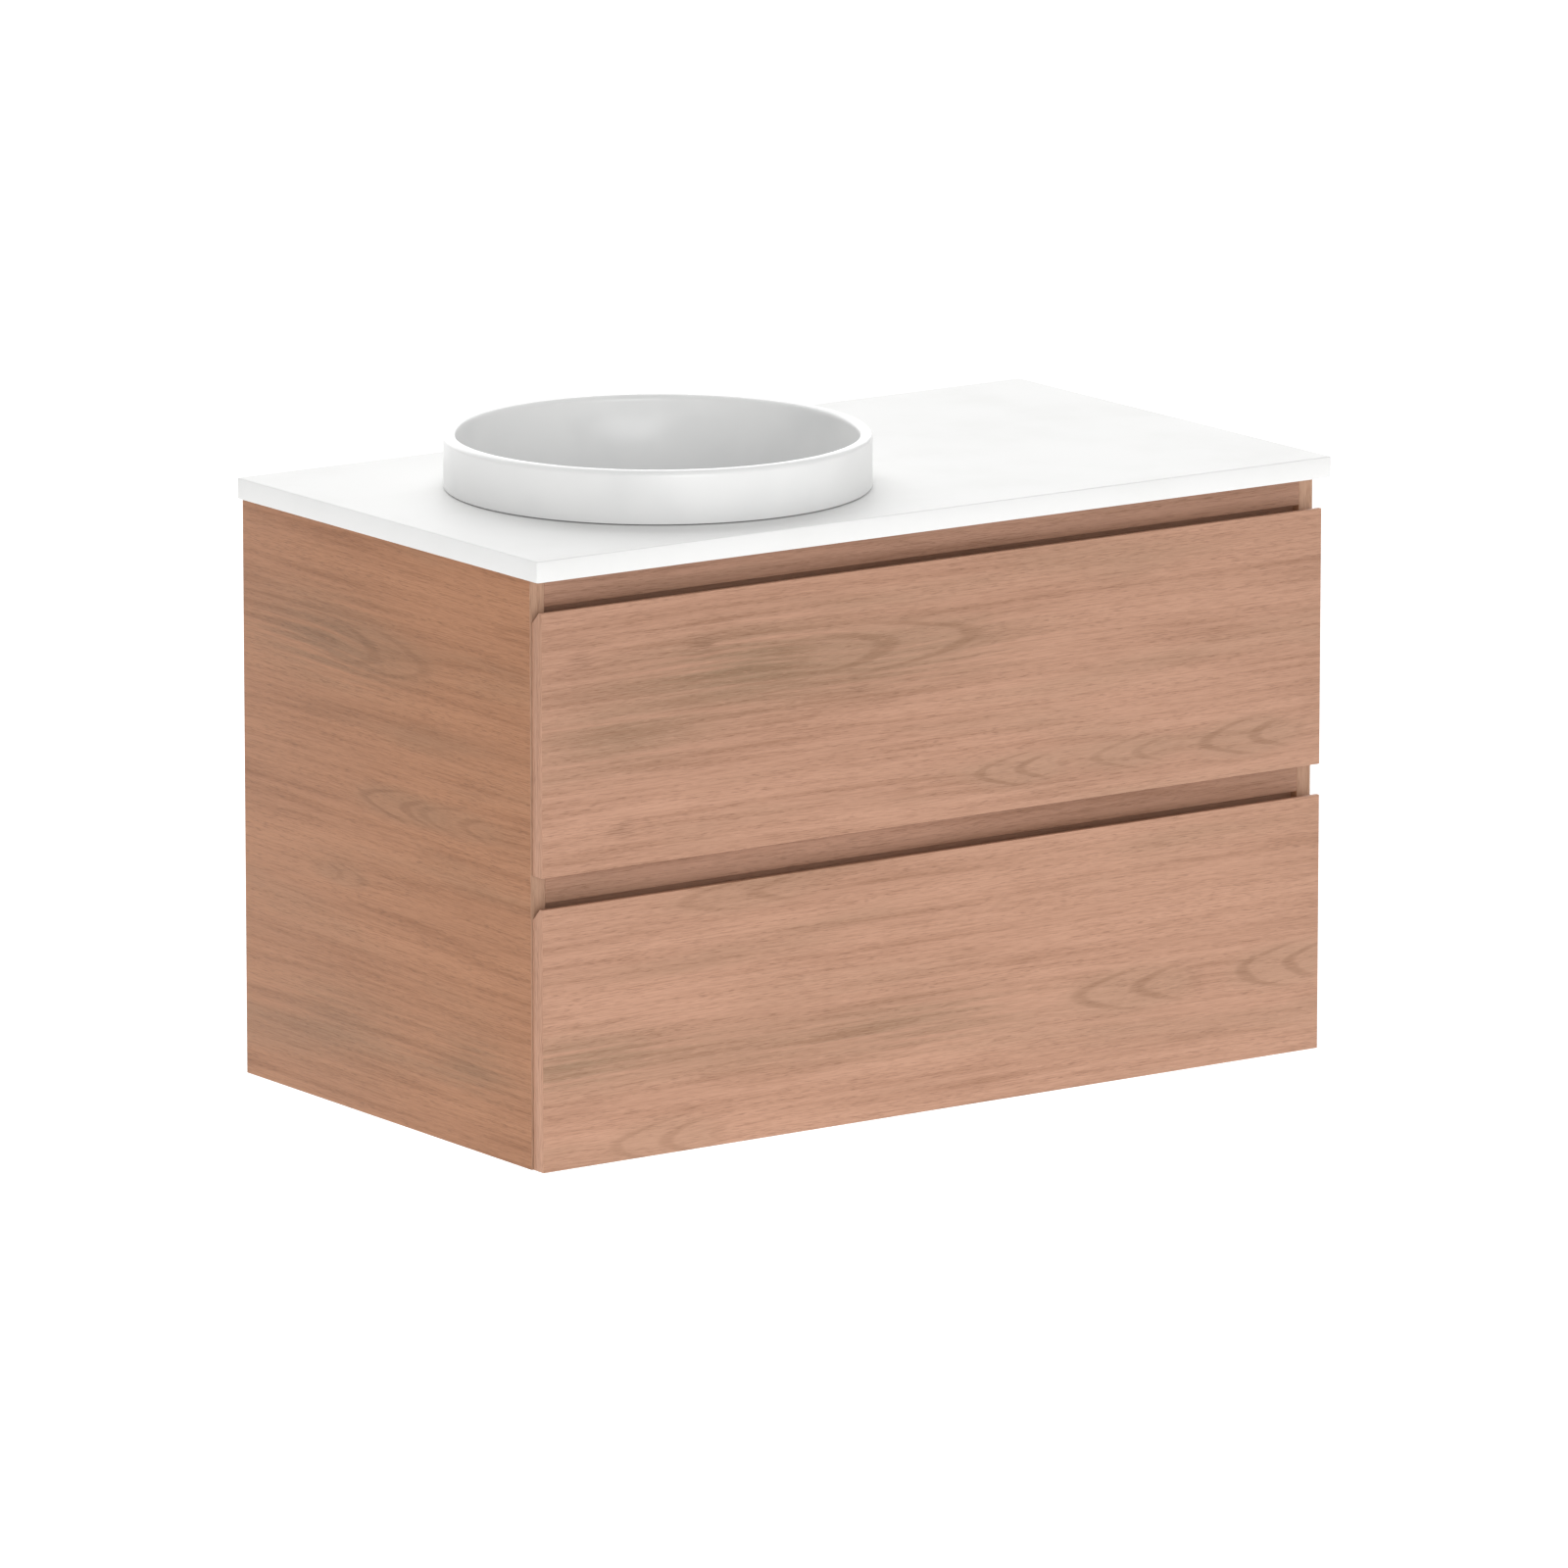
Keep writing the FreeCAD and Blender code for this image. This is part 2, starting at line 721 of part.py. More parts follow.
# Bottle trap: a bottle with a neck on top and a stub towards the wall
trap = turned("trap_body", [
    ("0", "trap_foot"),
    ("trap_radius", "trap_foot"),
    ("trap_radius", "trap_top"),
    ("neck_radius", "trap_top"),
    ("neck_radius", "trap_top + neck_high"),
    ("0", "trap_top + neck_high"),
])
stub = new_sketch(trap, "trap_stub", "XZ_Plane")
draw_circle(stub, "0", "outlet_z", "neck_radius", "stub")
pad(trap, stub, "stub_length", backwards=True)
hollow = new_sketch(trap, "trap_hollow", "XZ_Plane")
draw_outline(hollow, [
    ("0", "trap_foot - overcut"),
    ("trap_bore", "trap_foot - overcut"),
    ("trap_bore", "trap_top - trap_roof"),
    (PIPE_SEAT, "trap_top - trap_roof"),
    (PIPE_SEAT, "trap_top + neck_high + overcut"),
    ("0", "trap_top + neck_high + overcut"),
])
turn_about_axis(trap, hollow, "Groove")
stub_bore = new_sketch(trap, "trap_stub_bore", "XZ_Plane", "-stub_length / 2 - pipe_radius / 2")
draw_circle(stub_bore, "0", "outlet_z", PIPE_SEAT, "bore")
cut_both_ways(trap, stub_bore, "stub_length / 2")
on_basin_axis(trap, "trap_body")

on_basin_axis(turned("trap_cup", [
    ("0", "0"),
    ("cup_radius - cup_chamfer", "0"),
    ("cup_radius", "cup_chamfer"),
    ("cup_radius", "cup_high"),
    ("trap_radius", "cup_high"),
    ("trap_radius", "trap_foot - cup_foot"),
    ("trap_bore", "trap_foot - cup_foot"),
    ("trap_bore", "cup_floor"),
    ("0", "cup_floor"),
]), "trap_cup", "cup_foot")
hex_nut("trap_inlet_nut", "nut_radius", "nut_high", [
    ("neck_radius", "-overcut", "nut_cover"),
    (PIPE_SEAT, "nut_cover", "nut_high + overcut"),
], at=("basin_x", "basin_y", "trap_top + neck_high - nut_cover"))
hex_nut("trap_outlet_nut", "nut_radius", "nut_high", [
    ("neck_radius", "-overcut", "nut_cover"),
    (PIPE_SEAT, "nut_cover", "nut_high + overcut"),
], turn=ALONG_Y, at=("basin_x", "basin_y + stub_length - nut_cover", "outlet_z"))

OUTLET_START = "(basin_y + stub_length - nut_cover)"
outlet = ring("outlet_pipe", "pipe_bore", "pipe_radius", "0", f"{WALL} - {OUTLET_START}")
place(outlet, "basin_x", OUTLET_START, "outlet_z", ALONG_Y)
keep(outlet, "outlet_pipe")
rosette = turned("wall_rosette", [
    (PIPE_SEAT, "0"),
    (f"{PIPE_SEAT} + rosette_collar", "0"),
    ("rosette_radius", "rosette_thick - rosette_rim"),
    ("rosette_radius", "rosette_thick"),
    (PIPE_SEAT, "rosette_thick"),
])
place(rosette, "basin_x", f"{WALL} - rosette_thick", "outlet_z", ALONG_Y)
keep(rosette, "wall_rosette")


# Runners: three nested members a side, drawn as a section and extruded along the depth


def member(name, side, hand, section, start, length, level):
    """A rolled member; section corners are (distance in from the side panel, height)."""
    body = new_body(name)
    sketch = new_sketch(body, name + "_section", "XZ_Plane")
    draw_outline(sketch, [(f"{hand} * ({INNER} - ({u}))", v) for u, v in section])
    pad(body, sketch, length, backwards=True)
    return place(body, y=start, z=level)


CABINET_SECTION = [
    ("0", "0"),
    ("runner_web", "0"),
    ("runner_web", "runner_lip"),
    ("runner_web - gauge", "runner_lip"),
    ("runner_web - gauge", "gauge"),
    ("gauge", "gauge"),
    ("gauge", "runner_flange"),
    ("0", "runner_flange"),
]
MIDDLE_SECTION = [
    ("middle_near", "middle_foot"),
    ("middle_near + middle_wide", "middle_foot"),
    ("middle_near + middle_wide", "middle_foot + middle_high"),
    ("middle_near + middle_wide - gauge", "middle_foot + middle_high"),
    ("middle_near + middle_wide - gauge", "middle_foot + gauge"),
    ("middle_near + gauge", "middle_foot + gauge"),
    ("middle_near + gauge", "middle_foot + middle_high"),
    ("middle_near", "middle_foot + middle_high"),
]
DRAWER_SECTION = [
    ("member_near", "member_top - gauge"),
    ("member_leg_near", "member_top - gauge"),
    ("member_leg_near", "member_foot"),
    ("member_leg_near + gauge", "member_foot"),
    ("member_leg_near + gauge", "member_top - gauge"),
    ("member_leg_near + member_leg_wide - gauge", "member_top - gauge"),
    ("member_leg_near + member_leg_wide - gauge", "member_foot"),
    ("member_leg_near + member_leg_wide", "member_foot"),
    ("member_leg_near + member_leg_wide", "member_top - gauge"),
    ("member_near + member_wide", "member_top - gauge"),
    ("member_near + member_wide", "member_top"),
    ("member_near", "member_top"),
]

for level, level_z in RUNNER_LEVELS.items():
    for side, hand in SIDES.items():
        name = f"{level}_runner_{side}"
        body = member(name, side, hand, CABINET_SECTION, RUNNER_START, "runner_length", level_z)
        bores = new_sketch(body, name + "_bores", "YZ_Plane", f"{hand} * {INNER}")
        for index, y in enumerate(RUNNER_SCREW_YS):
            draw_circle(bores, f"{y} - {RUNNER_START}", "runner_screw_up", "screw_radius",
                        f"bore{index}")
        cut_both_ways(body, bores, "2 * gauge")
        keep(body, name)
    group(f"{level}_middle_members", [
        member(f"{level}_middle_{side}", side, hand, MIDDLE_SECTION,
               f"{CARCASS_FRONT} + middle_setback", "middle_length", level_z)
        for side, hand in SIDES.items()
    ])
    group(f"{level}_drawer_members", [
        member(f"{level}_member_{side}", side, hand, DRAWER_SECTION,
               f"{FRONT_BACK} + member_setback", "member_length", level_z)
        for side, hand in SIDES.items()
    ])


# Front catches under the drawers, each with a swinging release lever on its pin


def front_catch(name, hand, level_z):
    """A plate with a rear block and a pin that carries the lever."""
    inner_x = f"{hand} * ({INNER} - catch_near)"
    outer_x = f"{hand} * ({INNER} - catch_near - catch_wide)"
    front_y = f"{FRONT_BACK} + catch_front"
    back_y = f"{FRONT_BACK} + catch_front + catch_long"
    body = new_body(name)
    plate = new_sketch(body, name + "_plate", "XY_Plane", "member_top - catch_plate")
    draw_outline(plate, [(inner_x, front_y), (outer_x, front_y), (outer_x, back_y),
                         (inner_x, back_y)])
    pad(body, plate, "catch_plate")
    block = new_sketch(body, name + "_block", "XY_Plane", "catch_foot")
    draw_outline(block, [(inner_x, f"{back_y} - catch_block"),
                         (outer_x, f"{back_y} - catch_block"),
                         (outer_x, back_y), (inner_x, back_y)])
    pad(body, block, "member_top - catch_plate - catch_foot")
    pin = new_sketch(body, name + "_pin", "XY_Plane", "lever_foot - overcut")
    draw_circle(pin, f"{hand} * ({INNER} - catch_near - catch_wide / 2)",
                f"{FRONT_BACK} + pin_back", "pin_radius", "pin")
    pad(body, pin, "member_top - catch_plate - lever_foot + overcut")
    return place(body, z=level_z)


def release_lever(label, hand, level_z):
    """A round-ended paddle that turns on the catch's pin."""
    eye = doc.addObject("Part::Cylinder", label + "_eye")
    bind(eye, "Radius", "lever_half")
    tip = doc.addObject("Part::Cylinder", label + "_tip")
    bind(tip, "Radius", "lever_half")
    arm = doc.addObject("Part::Box", label + "_arm")
    bind(arm, "Length", "2 * lever_half")
    bind(arm, "Width", "lever_reach")
    for piece in (eye, tip, arm):
        bind(piece, "Height", "lever_high")
    place(tip, y="-lever_reach")
    place(arm, "-lever_half", "-lever_reach")
    whole = doc.addObject("Part::MultiFuse", label + "_whole")
    whole.Shapes = [eye, tip, arm]
    bore = doc.addObject("Part::Cylinder", label + "_bore")
    bind(bore, "Radius", "pin_radius + pin_fit")
    bind(bore, "Height", "lever_high + 2 * overcut")
    place(bore, z="-overcut")
    lever = doc.addObject("Part::Cut", label)
    lever.Base = whole
    lever.Tool = bore
    place(lever, f"{hand} * ({INNER} - catch_near - catch_wide / 2)",
          f"{FRONT_BACK} + pin_back", f"{level_z} + lever_foot")
    return keep(lever, label)


for level, level_z in RUNNER_LEVELS.items():
    group(f"{level}_catches", [
        front_catch(f"{level}_catch_{side}", hand, level_z) for side, hand in SIDES.items()
    ])
    for side, hand in SIDES.items():
        release_lever(f"{level}_lever_{side}", hand, level_z)


# Drawers


def bevelled_front(label, z, bores):
    """A drawer front whose rear top edge is cut back at 45 degrees as a finger pull."""
    body = new_body(label)
    section = new_sketch(body, label + "_section", "YZ_Plane")
    draw_outline(section, [
        ("0", "0"),
        ("front_thick", "0"),
        ("front_thick", "front_height - bevel"),
        ("front_thick - bevel", "front_height"),
        ("0", "front_height"),
    ])
    pad(body, section, "front_width")
    for index, (u, v) in enumerate(bores):
        face = new_sketch(body, f"{label}_bore{index}", "XZ_Plane", "-front_thick")
        draw_circle(face, f"{u} + front_width / 2", f"{v} - {z}", "screw_radius", "bore")
        cut_both_ways(body, face, "front_screw_grip")
    place(body, "-front_width / 2", f"{FRONT_BACK} - front_thick", z)
    return keep(body, label)


def drawer_shell(level, level_z, high, front_z):
    """The pieces that both drawers have. Returns the heights of the floor, its top and the rim."""
    foot = f"({level_z} + box_foot)"
    floor = f"({level_z} + member_top)"
    above = f"({floor} + drawer_bottom)"
    top = f"({foot} + {high})"
    screw_places = [
        (f"{sign} front_screw_x", f"{z}")
        for sign in ("-", "")
        for z in (f"{above} + front_screw_drop", f"{top} - front_screw_drop")
    ]
    bevelled_front(f"{level}_front", front_z, screw_places)
    board(
        f"{level}_inner_front",
        "y",
        (f"2 * {BOX_INNER}", "drawer_board", f"{top} - {above}"),
        (f"-{BOX_INNER}", FRONT_BACK, above),
        holes=[(f"{x} + {BOX_INNER}", f"{z} - {above}", "screw_radius") for x, z in screw_places],
    )
    for side in SIDES:
        x = f"-{BOX_OUTER}" if side == "left" else BOX_INNER
        board(f"{level}_side_{side}", "x", ("drawer_board", BOX_DEPTH, high),
              (x, FRONT_BACK, foot))
    group(f"{level}_front_screws", [
        screw(f"{level}_front_screw{index}", x, f"{FRONT_BACK} + drawer_board", z,
              "drawer_board + front_screw_grip", ALONG_MINUS_Y)
        for index, (x, z) in enumerate(screw_places)
    ])
    return floor, above, top


floor, above, top = drawer_shell("lower", "lower_runner_z", "lower_box_high", "0")
board("lower_bottom", "z", (f"2 * {BOX_INNER}", BOX_DEPTH, "drawer_bottom"),
      (f"-{BOX_INNER}", FRONT_BACK, floor))
board("lower_back", "y", (f"2 * {BOX_INNER}", "drawer_board", f"{top} - {above}"),
      (f"-{BOX_INNER}", f"{BOX_BACK} - drawer_board", above))

# The upper drawer has a notch open to the rear, round the trap and its outlet
floor, above, top = drawer_shell("upper", "upper_runner_z", "upper_box_high", UPPER_FRONT_Z)
NOTCH_LEFT = "(basin_x - notch_half)"
NOTCH_RIGHT = "(basin_x + notch_half)"
NOTCH_FRONT = f"({WALL} - notch_reach)"
upper_bottom = new_body("upper_bottom")
upper_floor = new_sketch(upper_bottom, "upper_bottom_face", "XY_Plane")
draw_outline(upper_floor, [
    (f"-{BOX_INNER}", FRONT_BACK),
    (BOX_INNER, FRONT_BACK),
    (BOX_INNER, BOX_BACK),
    (NOTCH_RIGHT, BOX_BACK),
    (NOTCH_RIGHT, NOTCH_FRONT),
    (NOTCH_LEFT, NOTCH_FRONT),
    (NOTCH_LEFT, BOX_BACK),
    (f"-{BOX_INNER}", BOX_BACK),
])
pad(upper_bottom, upper_floor, "drawer_bottom")
place(upper_bottom, z=floor)
keep(upper_bottom, "upper_bottom")

RISE = f"({top} - {above})"
board("upper_back_left", "y",
      (f"{NOTCH_LEFT} - notch_board + {BOX_INNER}", "drawer_board", RISE),
      (f"-{BOX_INNER}", f"{BOX_BACK} - drawer_board", above))
board("upper_back_right", "y",
      (f"{BOX_INNER} - ({NOTCH_RIGHT} + notch_board)", "drawer_board", RISE),
      (f"{NOTCH_RIGHT} + notch_board", f"{BOX_BACK} - drawer_board", above))
board("upper_notch_left", "x",
      ("notch_board", f"{BOX_BACK} - {NOTCH_FRONT}", RISE),
      (f"{NOTCH_LEFT} - notch_board", NOTCH_FRONT, above))
board("upper_notch_right", "x",
      ("notch_board", f"{BOX_BACK} - {NOTCH_FRONT}", RISE),
      (NOTCH_RIGHT, NOTCH_FRONT, above))
board("upper_notch_front", "y",
      ("2 * (notch_half + notch_board)", "notch_board", RISE),
      (f"{NOTCH_LEFT} - notch_board", f"{NOTCH_FRONT} - notch_board", above))


def check_document():
    """Stop if a feature failed or a cut removed nothing."""
    doc.recompute()
    for item in doc.Objects:
        if {"Invalid", "Error"} & set(item.State):
            raise RuntimeError(f"{item.Name}: {item.State}")
        if item.TypeId in ("PartDesign::Pocket", "PartDesign::Groove"):
            if item.Shape.Volume >= item.BaseFeature.Shape.Volume - 1:
                raise RuntimeError(f"{item.Name} cuts nothing")
    for item in parts:
        if item.Shape.isNull() or not item.Shape.isValid() or not item.Shape.Solids:
            raise RuntimeError(f"{item.Label}: bad shape")


def write_parts():
    """Write each piece to its own STEP file, named after its node."""
    os.makedirs("parts", exist_ok=True)
    for item in parts:
        item.Shape.exportStep(f"parts/{item.Label}.step")


check_document()
write_parts()
whole = Part.makeCompound([item.Shape for item in parts]).BoundBox
print(len(parts), "parts", [round(v, 2) for v in (whole.XMin, whole.YMin, whole.ZMin,
                                                  whole.XMax, whole.YMax, whole.ZMax)])
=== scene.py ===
"""A wall-hung vanity with a round basin let into its worktop, dressed over its engineering frame.

Lengths are in metres, in the frame of the engineering model: X along the fronts, Y towards the wall, Z up.
"""

import logging
import math
from dataclasses import dataclass, field
from enum import Enum
from typing import Callable, Iterable, Optional, Sequence, Union

import bmesh
import bpy
from mathutils import Matrix, Vector


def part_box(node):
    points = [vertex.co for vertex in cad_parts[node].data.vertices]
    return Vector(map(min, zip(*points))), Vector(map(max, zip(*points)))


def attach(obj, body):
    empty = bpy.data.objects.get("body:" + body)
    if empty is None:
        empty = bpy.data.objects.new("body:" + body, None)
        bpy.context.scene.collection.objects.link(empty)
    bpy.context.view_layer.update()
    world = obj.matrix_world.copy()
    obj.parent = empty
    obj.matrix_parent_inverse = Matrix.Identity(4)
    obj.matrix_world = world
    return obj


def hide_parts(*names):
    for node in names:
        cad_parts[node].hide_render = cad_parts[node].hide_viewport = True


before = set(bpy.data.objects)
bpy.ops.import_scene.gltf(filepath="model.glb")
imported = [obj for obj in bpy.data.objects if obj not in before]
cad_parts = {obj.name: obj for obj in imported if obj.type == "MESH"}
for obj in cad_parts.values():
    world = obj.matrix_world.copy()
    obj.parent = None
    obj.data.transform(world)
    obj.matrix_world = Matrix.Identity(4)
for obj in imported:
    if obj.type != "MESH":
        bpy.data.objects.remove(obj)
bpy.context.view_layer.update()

MM = 0.001
UP_TO_BACK = Matrix.Rotation(math.radians(-90), 4, "X")
WHITE = (1.0, 1.0, 1.0, 1.0)

# Points that lie closer than this are one point.
MERGE = 1e-6

log = logging.getLogger("vanity")

Colour = tuple[float, float, float, float]
Feed = Union["Signal", float, int, bool, str, Sequence[float]]
Material = bpy.types.Material
Mesh = bpy.types.Mesh
Points = Sequence[tuple[float, float]]
Ring = list[bmesh.types.BMVert]


def paint(code: str, shade: float = 1.0) -> Colour:
    """Turns a paint code into a linear colour.

    Args:
        code: The colour as six hexadecimal digits.
        shade: How much lighter or darker the linear colour is made.

    Returns:
        Red, green, blue and alpha.
    """
    parts = [int(code[start : start + 2], 16) / 255 for start in (0, 2, 4)]
    linear = [c / 12.92 if c <= 0.04045 else ((c + 0.055) / 1.055) ** 2.4 for c in parts]
    return (*(min(1.0, c * shade) for c in linear), 1.0)


# ---------------------------------------------------------------- node trees


class Signal:
    """An output socket of a node tree that can be used in arithmetic."""

    def __init__(self, graph: "Graph", socket: bpy.types.NodeSocket) -> None:
        """Wraps a socket of the graph's tree."""
        self.graph = graph
        self.socket = socket

    def joined(self, operation: str, first: Feed, second: Feed = 0.0) -> "Signal":
        """Adds a Math node of that operation on one or two values or links."""
        return self.graph.node("ShaderNodeMath", {"operation": operation}, {0: first, 1: second})

    def __add__(self, other: Feed) -> "Signal":
        """Adds a value or another signal."""
        return self.joined("ADD", self, other)

    def __radd__(self, other: Feed) -> "Signal":
        """Adds this signal to a value."""
        return self.joined("ADD", other, self)

    def __sub__(self, other: Feed) -> "Signal":
        """Subtracts a value or another signal."""
        return self.joined("SUBTRACT", self, other)

    def __rsub__(self, other: Feed) -> "Signal":
        """Subtracts this signal from a value."""
        return self.joined("SUBTRACT", other, self)

    def __mul__(self, other: Feed) -> "Signal":
        """Multiplies by a value or another signal."""
        return self.joined("MULTIPLY", self, other)

    def __rmul__(self, other: Feed) -> "Signal":
        """Multiplies a value by this signal."""
        return self.joined("MULTIPLY", other, self)

    def shaped(self, operation: str) -> "Signal":
        """Applies a one-value operation, such as SINE or ABSOLUTE."""
        return self.joined(operation, self)

    def ramp(self, low: float, high: float) -> "Signal":
        """Eases from 0 at the low value to 1 at the high value, which may be the smaller of the two."""
        ends = {"Value": self, "From Min": low, "From Max": high, "To Min": 0.0, "To Max": 1.0}
        return self.graph.node("ShaderNodeMapRange", {"interpolation_type": "SMOOTHSTEP"}, ends)


class Graph:
    """A node tree that is built one node at a time."""

    def __init__(self, tree: bpy.types.NodeTree) -> None:
        """Starts from an empty tree."""
        self.tree = tree
        tree.nodes.clear()

    def node(
        self,
        kind: str,
        settings: Optional[dict[str, object]] = None,
        sockets: Optional[dict[Union[int, str], Feed]] = None,
        output: Union[int, str] = 0,
    ) -> Signal:
        """Adds a node.

        Args:
            kind: The node's type.
            settings: Its own settings, which are set before its sockets.
            sockets: Values or links by socket place, identifier or name.
            output: The output that is returned.

        Returns:
            The chosen output.
        """
        node = self.tree.nodes.new(kind)
        for name, value in (settings or {}).items():
            setattr(node, name, value)
        for name, value in (sockets or {}).items():
            self.feed(self.find(node.inputs, name), value)
        return Signal(self, self.find(node.outputs, output))

    @staticmethod
    def find(sockets: Iterable[bpy.types.NodeSocket], name: Union[int, str]) -> bpy.types.NodeSocket:
        """Finds a socket.

        Args:
            sockets: A node's inputs or outputs.
            name: The socket's place, identifier or name.

        Returns:
            The socket.
        """
        if isinstance(name, int):
            return sockets[name]
        exact = [socket for socket in sockets if socket.identifier == name]
        return exact[0] if exact else sockets[name]

    def feed(self, socket: bpy.types.NodeSocket, value: Feed) -> None:
        """Links a signal to an input, or sets the input's own value.

        Args:
            socket: The input.
            value: A signal, or a number, colour or vector.
        """
        if isinstance(value, Signal):
            self.tree.links.new(value.socket, socket)
        else:
            socket.default_value = value


class Finish(Graph):
    """A material's node tree, on the piece's own coordinates."""

    def __init__(self, name: str) -> None:
        """Starts an empty material.

        Args:
            name: Its name.
        """
        self.material = bpy.data.materials.new(name)
        self.material.use_nodes = True
        super().__init__(self.material.node_tree)

    def place(self) -> tuple[Signal, Signal, Signal]:
        """Reads the point that is shaded, on the piece's own coordinates.

        Returns:
            Its X, Y and Z.
        """
        point = self.node("ShaderNodeTexCoord", output="Object")
        split = self.node("ShaderNodeSeparateXYZ", sockets={0: point})
        return tuple(Signal(self, socket) for socket in split.socket.node.outputs)

    def vector(self, x: Feed, y: Feed, z: Feed) -> Signal:
        """Joins three values into a vector."""
        return self.node("ShaderNodeCombineXYZ", sockets={0: x, 1: y, 2: z})

    def noise(self, at: Signal, scale: float = 1.0, detail: float = 2.0, rough: float = 0.5) -> Signal:
        """Adds a noise texture about a half, with its features per metre and its finer layers."""
        sockets = {"Vector": at, "Scale": scale, "Detail": detail, "Roughness": rough}
        return self.node("ShaderNodeTexNoise", None, sockets)

    def cells(self, at: Signal, scale: float, output: str = "Distance") -> Signal:
        """Adds a cell texture and gives its distance or its colour."""
        return self.node("ShaderNodeTexVoronoi", None, {"Vector": at, "Scale": scale}, output)

    def mix(self, factor: Feed, first: Feed, second: Feed) -> Signal:
        """Mixes two colours, where the factor is the second one's share."""
        sockets = {"Factor_Float": factor, "A_Color": first, "B_Color": second}
        return self.node("ShaderNodeMix", {"data_type": "RGBA"}, sockets, "Result_Color")

    def close(self, relief: Signal, depth: float, **shader: Feed) -> Material:
        """Ends the tree in its shader.

        Args:
            relief: The height of the surface's fine relief, from 0 to 1.
            depth: That relief's depth in metres.
            **shader: The shader's sockets, with underscores for spaces.

        Returns:
            The finished material.
        """
        bump = self.node("ShaderNodeBump", None, {"Strength": 1.0, "Distance": depth, "Height": relief})
        sockets = {name.replace("_", " "): value for name, value in shader.items()}
        surface = self.node("ShaderNodeBsdfPrincipled", None, {**sockets, "Normal": bump})
        end = self.tree.nodes.new("ShaderNodeOutputMaterial")
        self.tree.links.new(surface.socket, end.inputs["Surface"])
        return self.material


# ------------------------------------------------------------------ finishes


class Grain(Enum):
    """Which way the wood grain runs on a board."""

    ALONG_X = "along x"
    ALONG_Y = "along y"
    UPRIGHT = "upright"

    def turned(self, x: float, y: float, z: float) -> tuple[float, float]:
        """Turns a place to the grain.

        Args:
            x: Its X, as a number or a signal.
            y: Its Y.
            z: Its Z.

        Returns:
            The coordinate along the grain and the one across it.
        """
        if self is Grain.ALONG_X:
            return x, z + y
        if self is Grain.ALONG_Y:
            return y, z + x
        return z, x + y


@dataclass(frozen=True)
class Figure:
    """A place on a board where the grain leaves its straight run.

    The place is a fraction of the board, from its left and lower edges. The sizes are in metres. An
    arch points to the right, or to the left where its length is negative.
    """

    across: float
    up: float
    length: float
    height: float
    strength: float = 1.0

    def offsets(self, along: Signal, over: Signal, low: Vector, high: Vector,
                grain: Grain) -> tuple[Signal, Signal]:
        """Measures from the figure's middle, in its own lengths and heights.

        Args:
            along: The coordinate along the grain.
            over: The coordinate across the grain.
            low: The board's lowest corner.
            high: The board's highest corner.
            grain: The board's grain.

        Returns:
            How far along and how far across the point lies.
        """
        extent = high - low
        extent[min(range(3), key=lambda axis: extent[axis])] = 0.0
        start, span = grain.turned(*low), grain.turned(*extent)
        sideways = (along - (start[0] + self.across * span[0])) * (1 / self.length)
        upwards = (over - (start[1] + self.up * span[1])) * (1 / self.height)
        return sideways, upwards


class Streak(Enum):
    """The laminate's streaks: their length and width in metres, and their finer layers."""

    BROAD = (0.45, 0.026, 2.0)
    BAND = (0.20, 0.0058, 3.0)
    THREAD = (0.075, 0.0021, 2.0)
    FIBRE = (0.022, 0.0010, 3.0)
    PORE = (0.010, 0.0007, 0.0)
    FLECK = (0.014, 0.0009, 1.0)


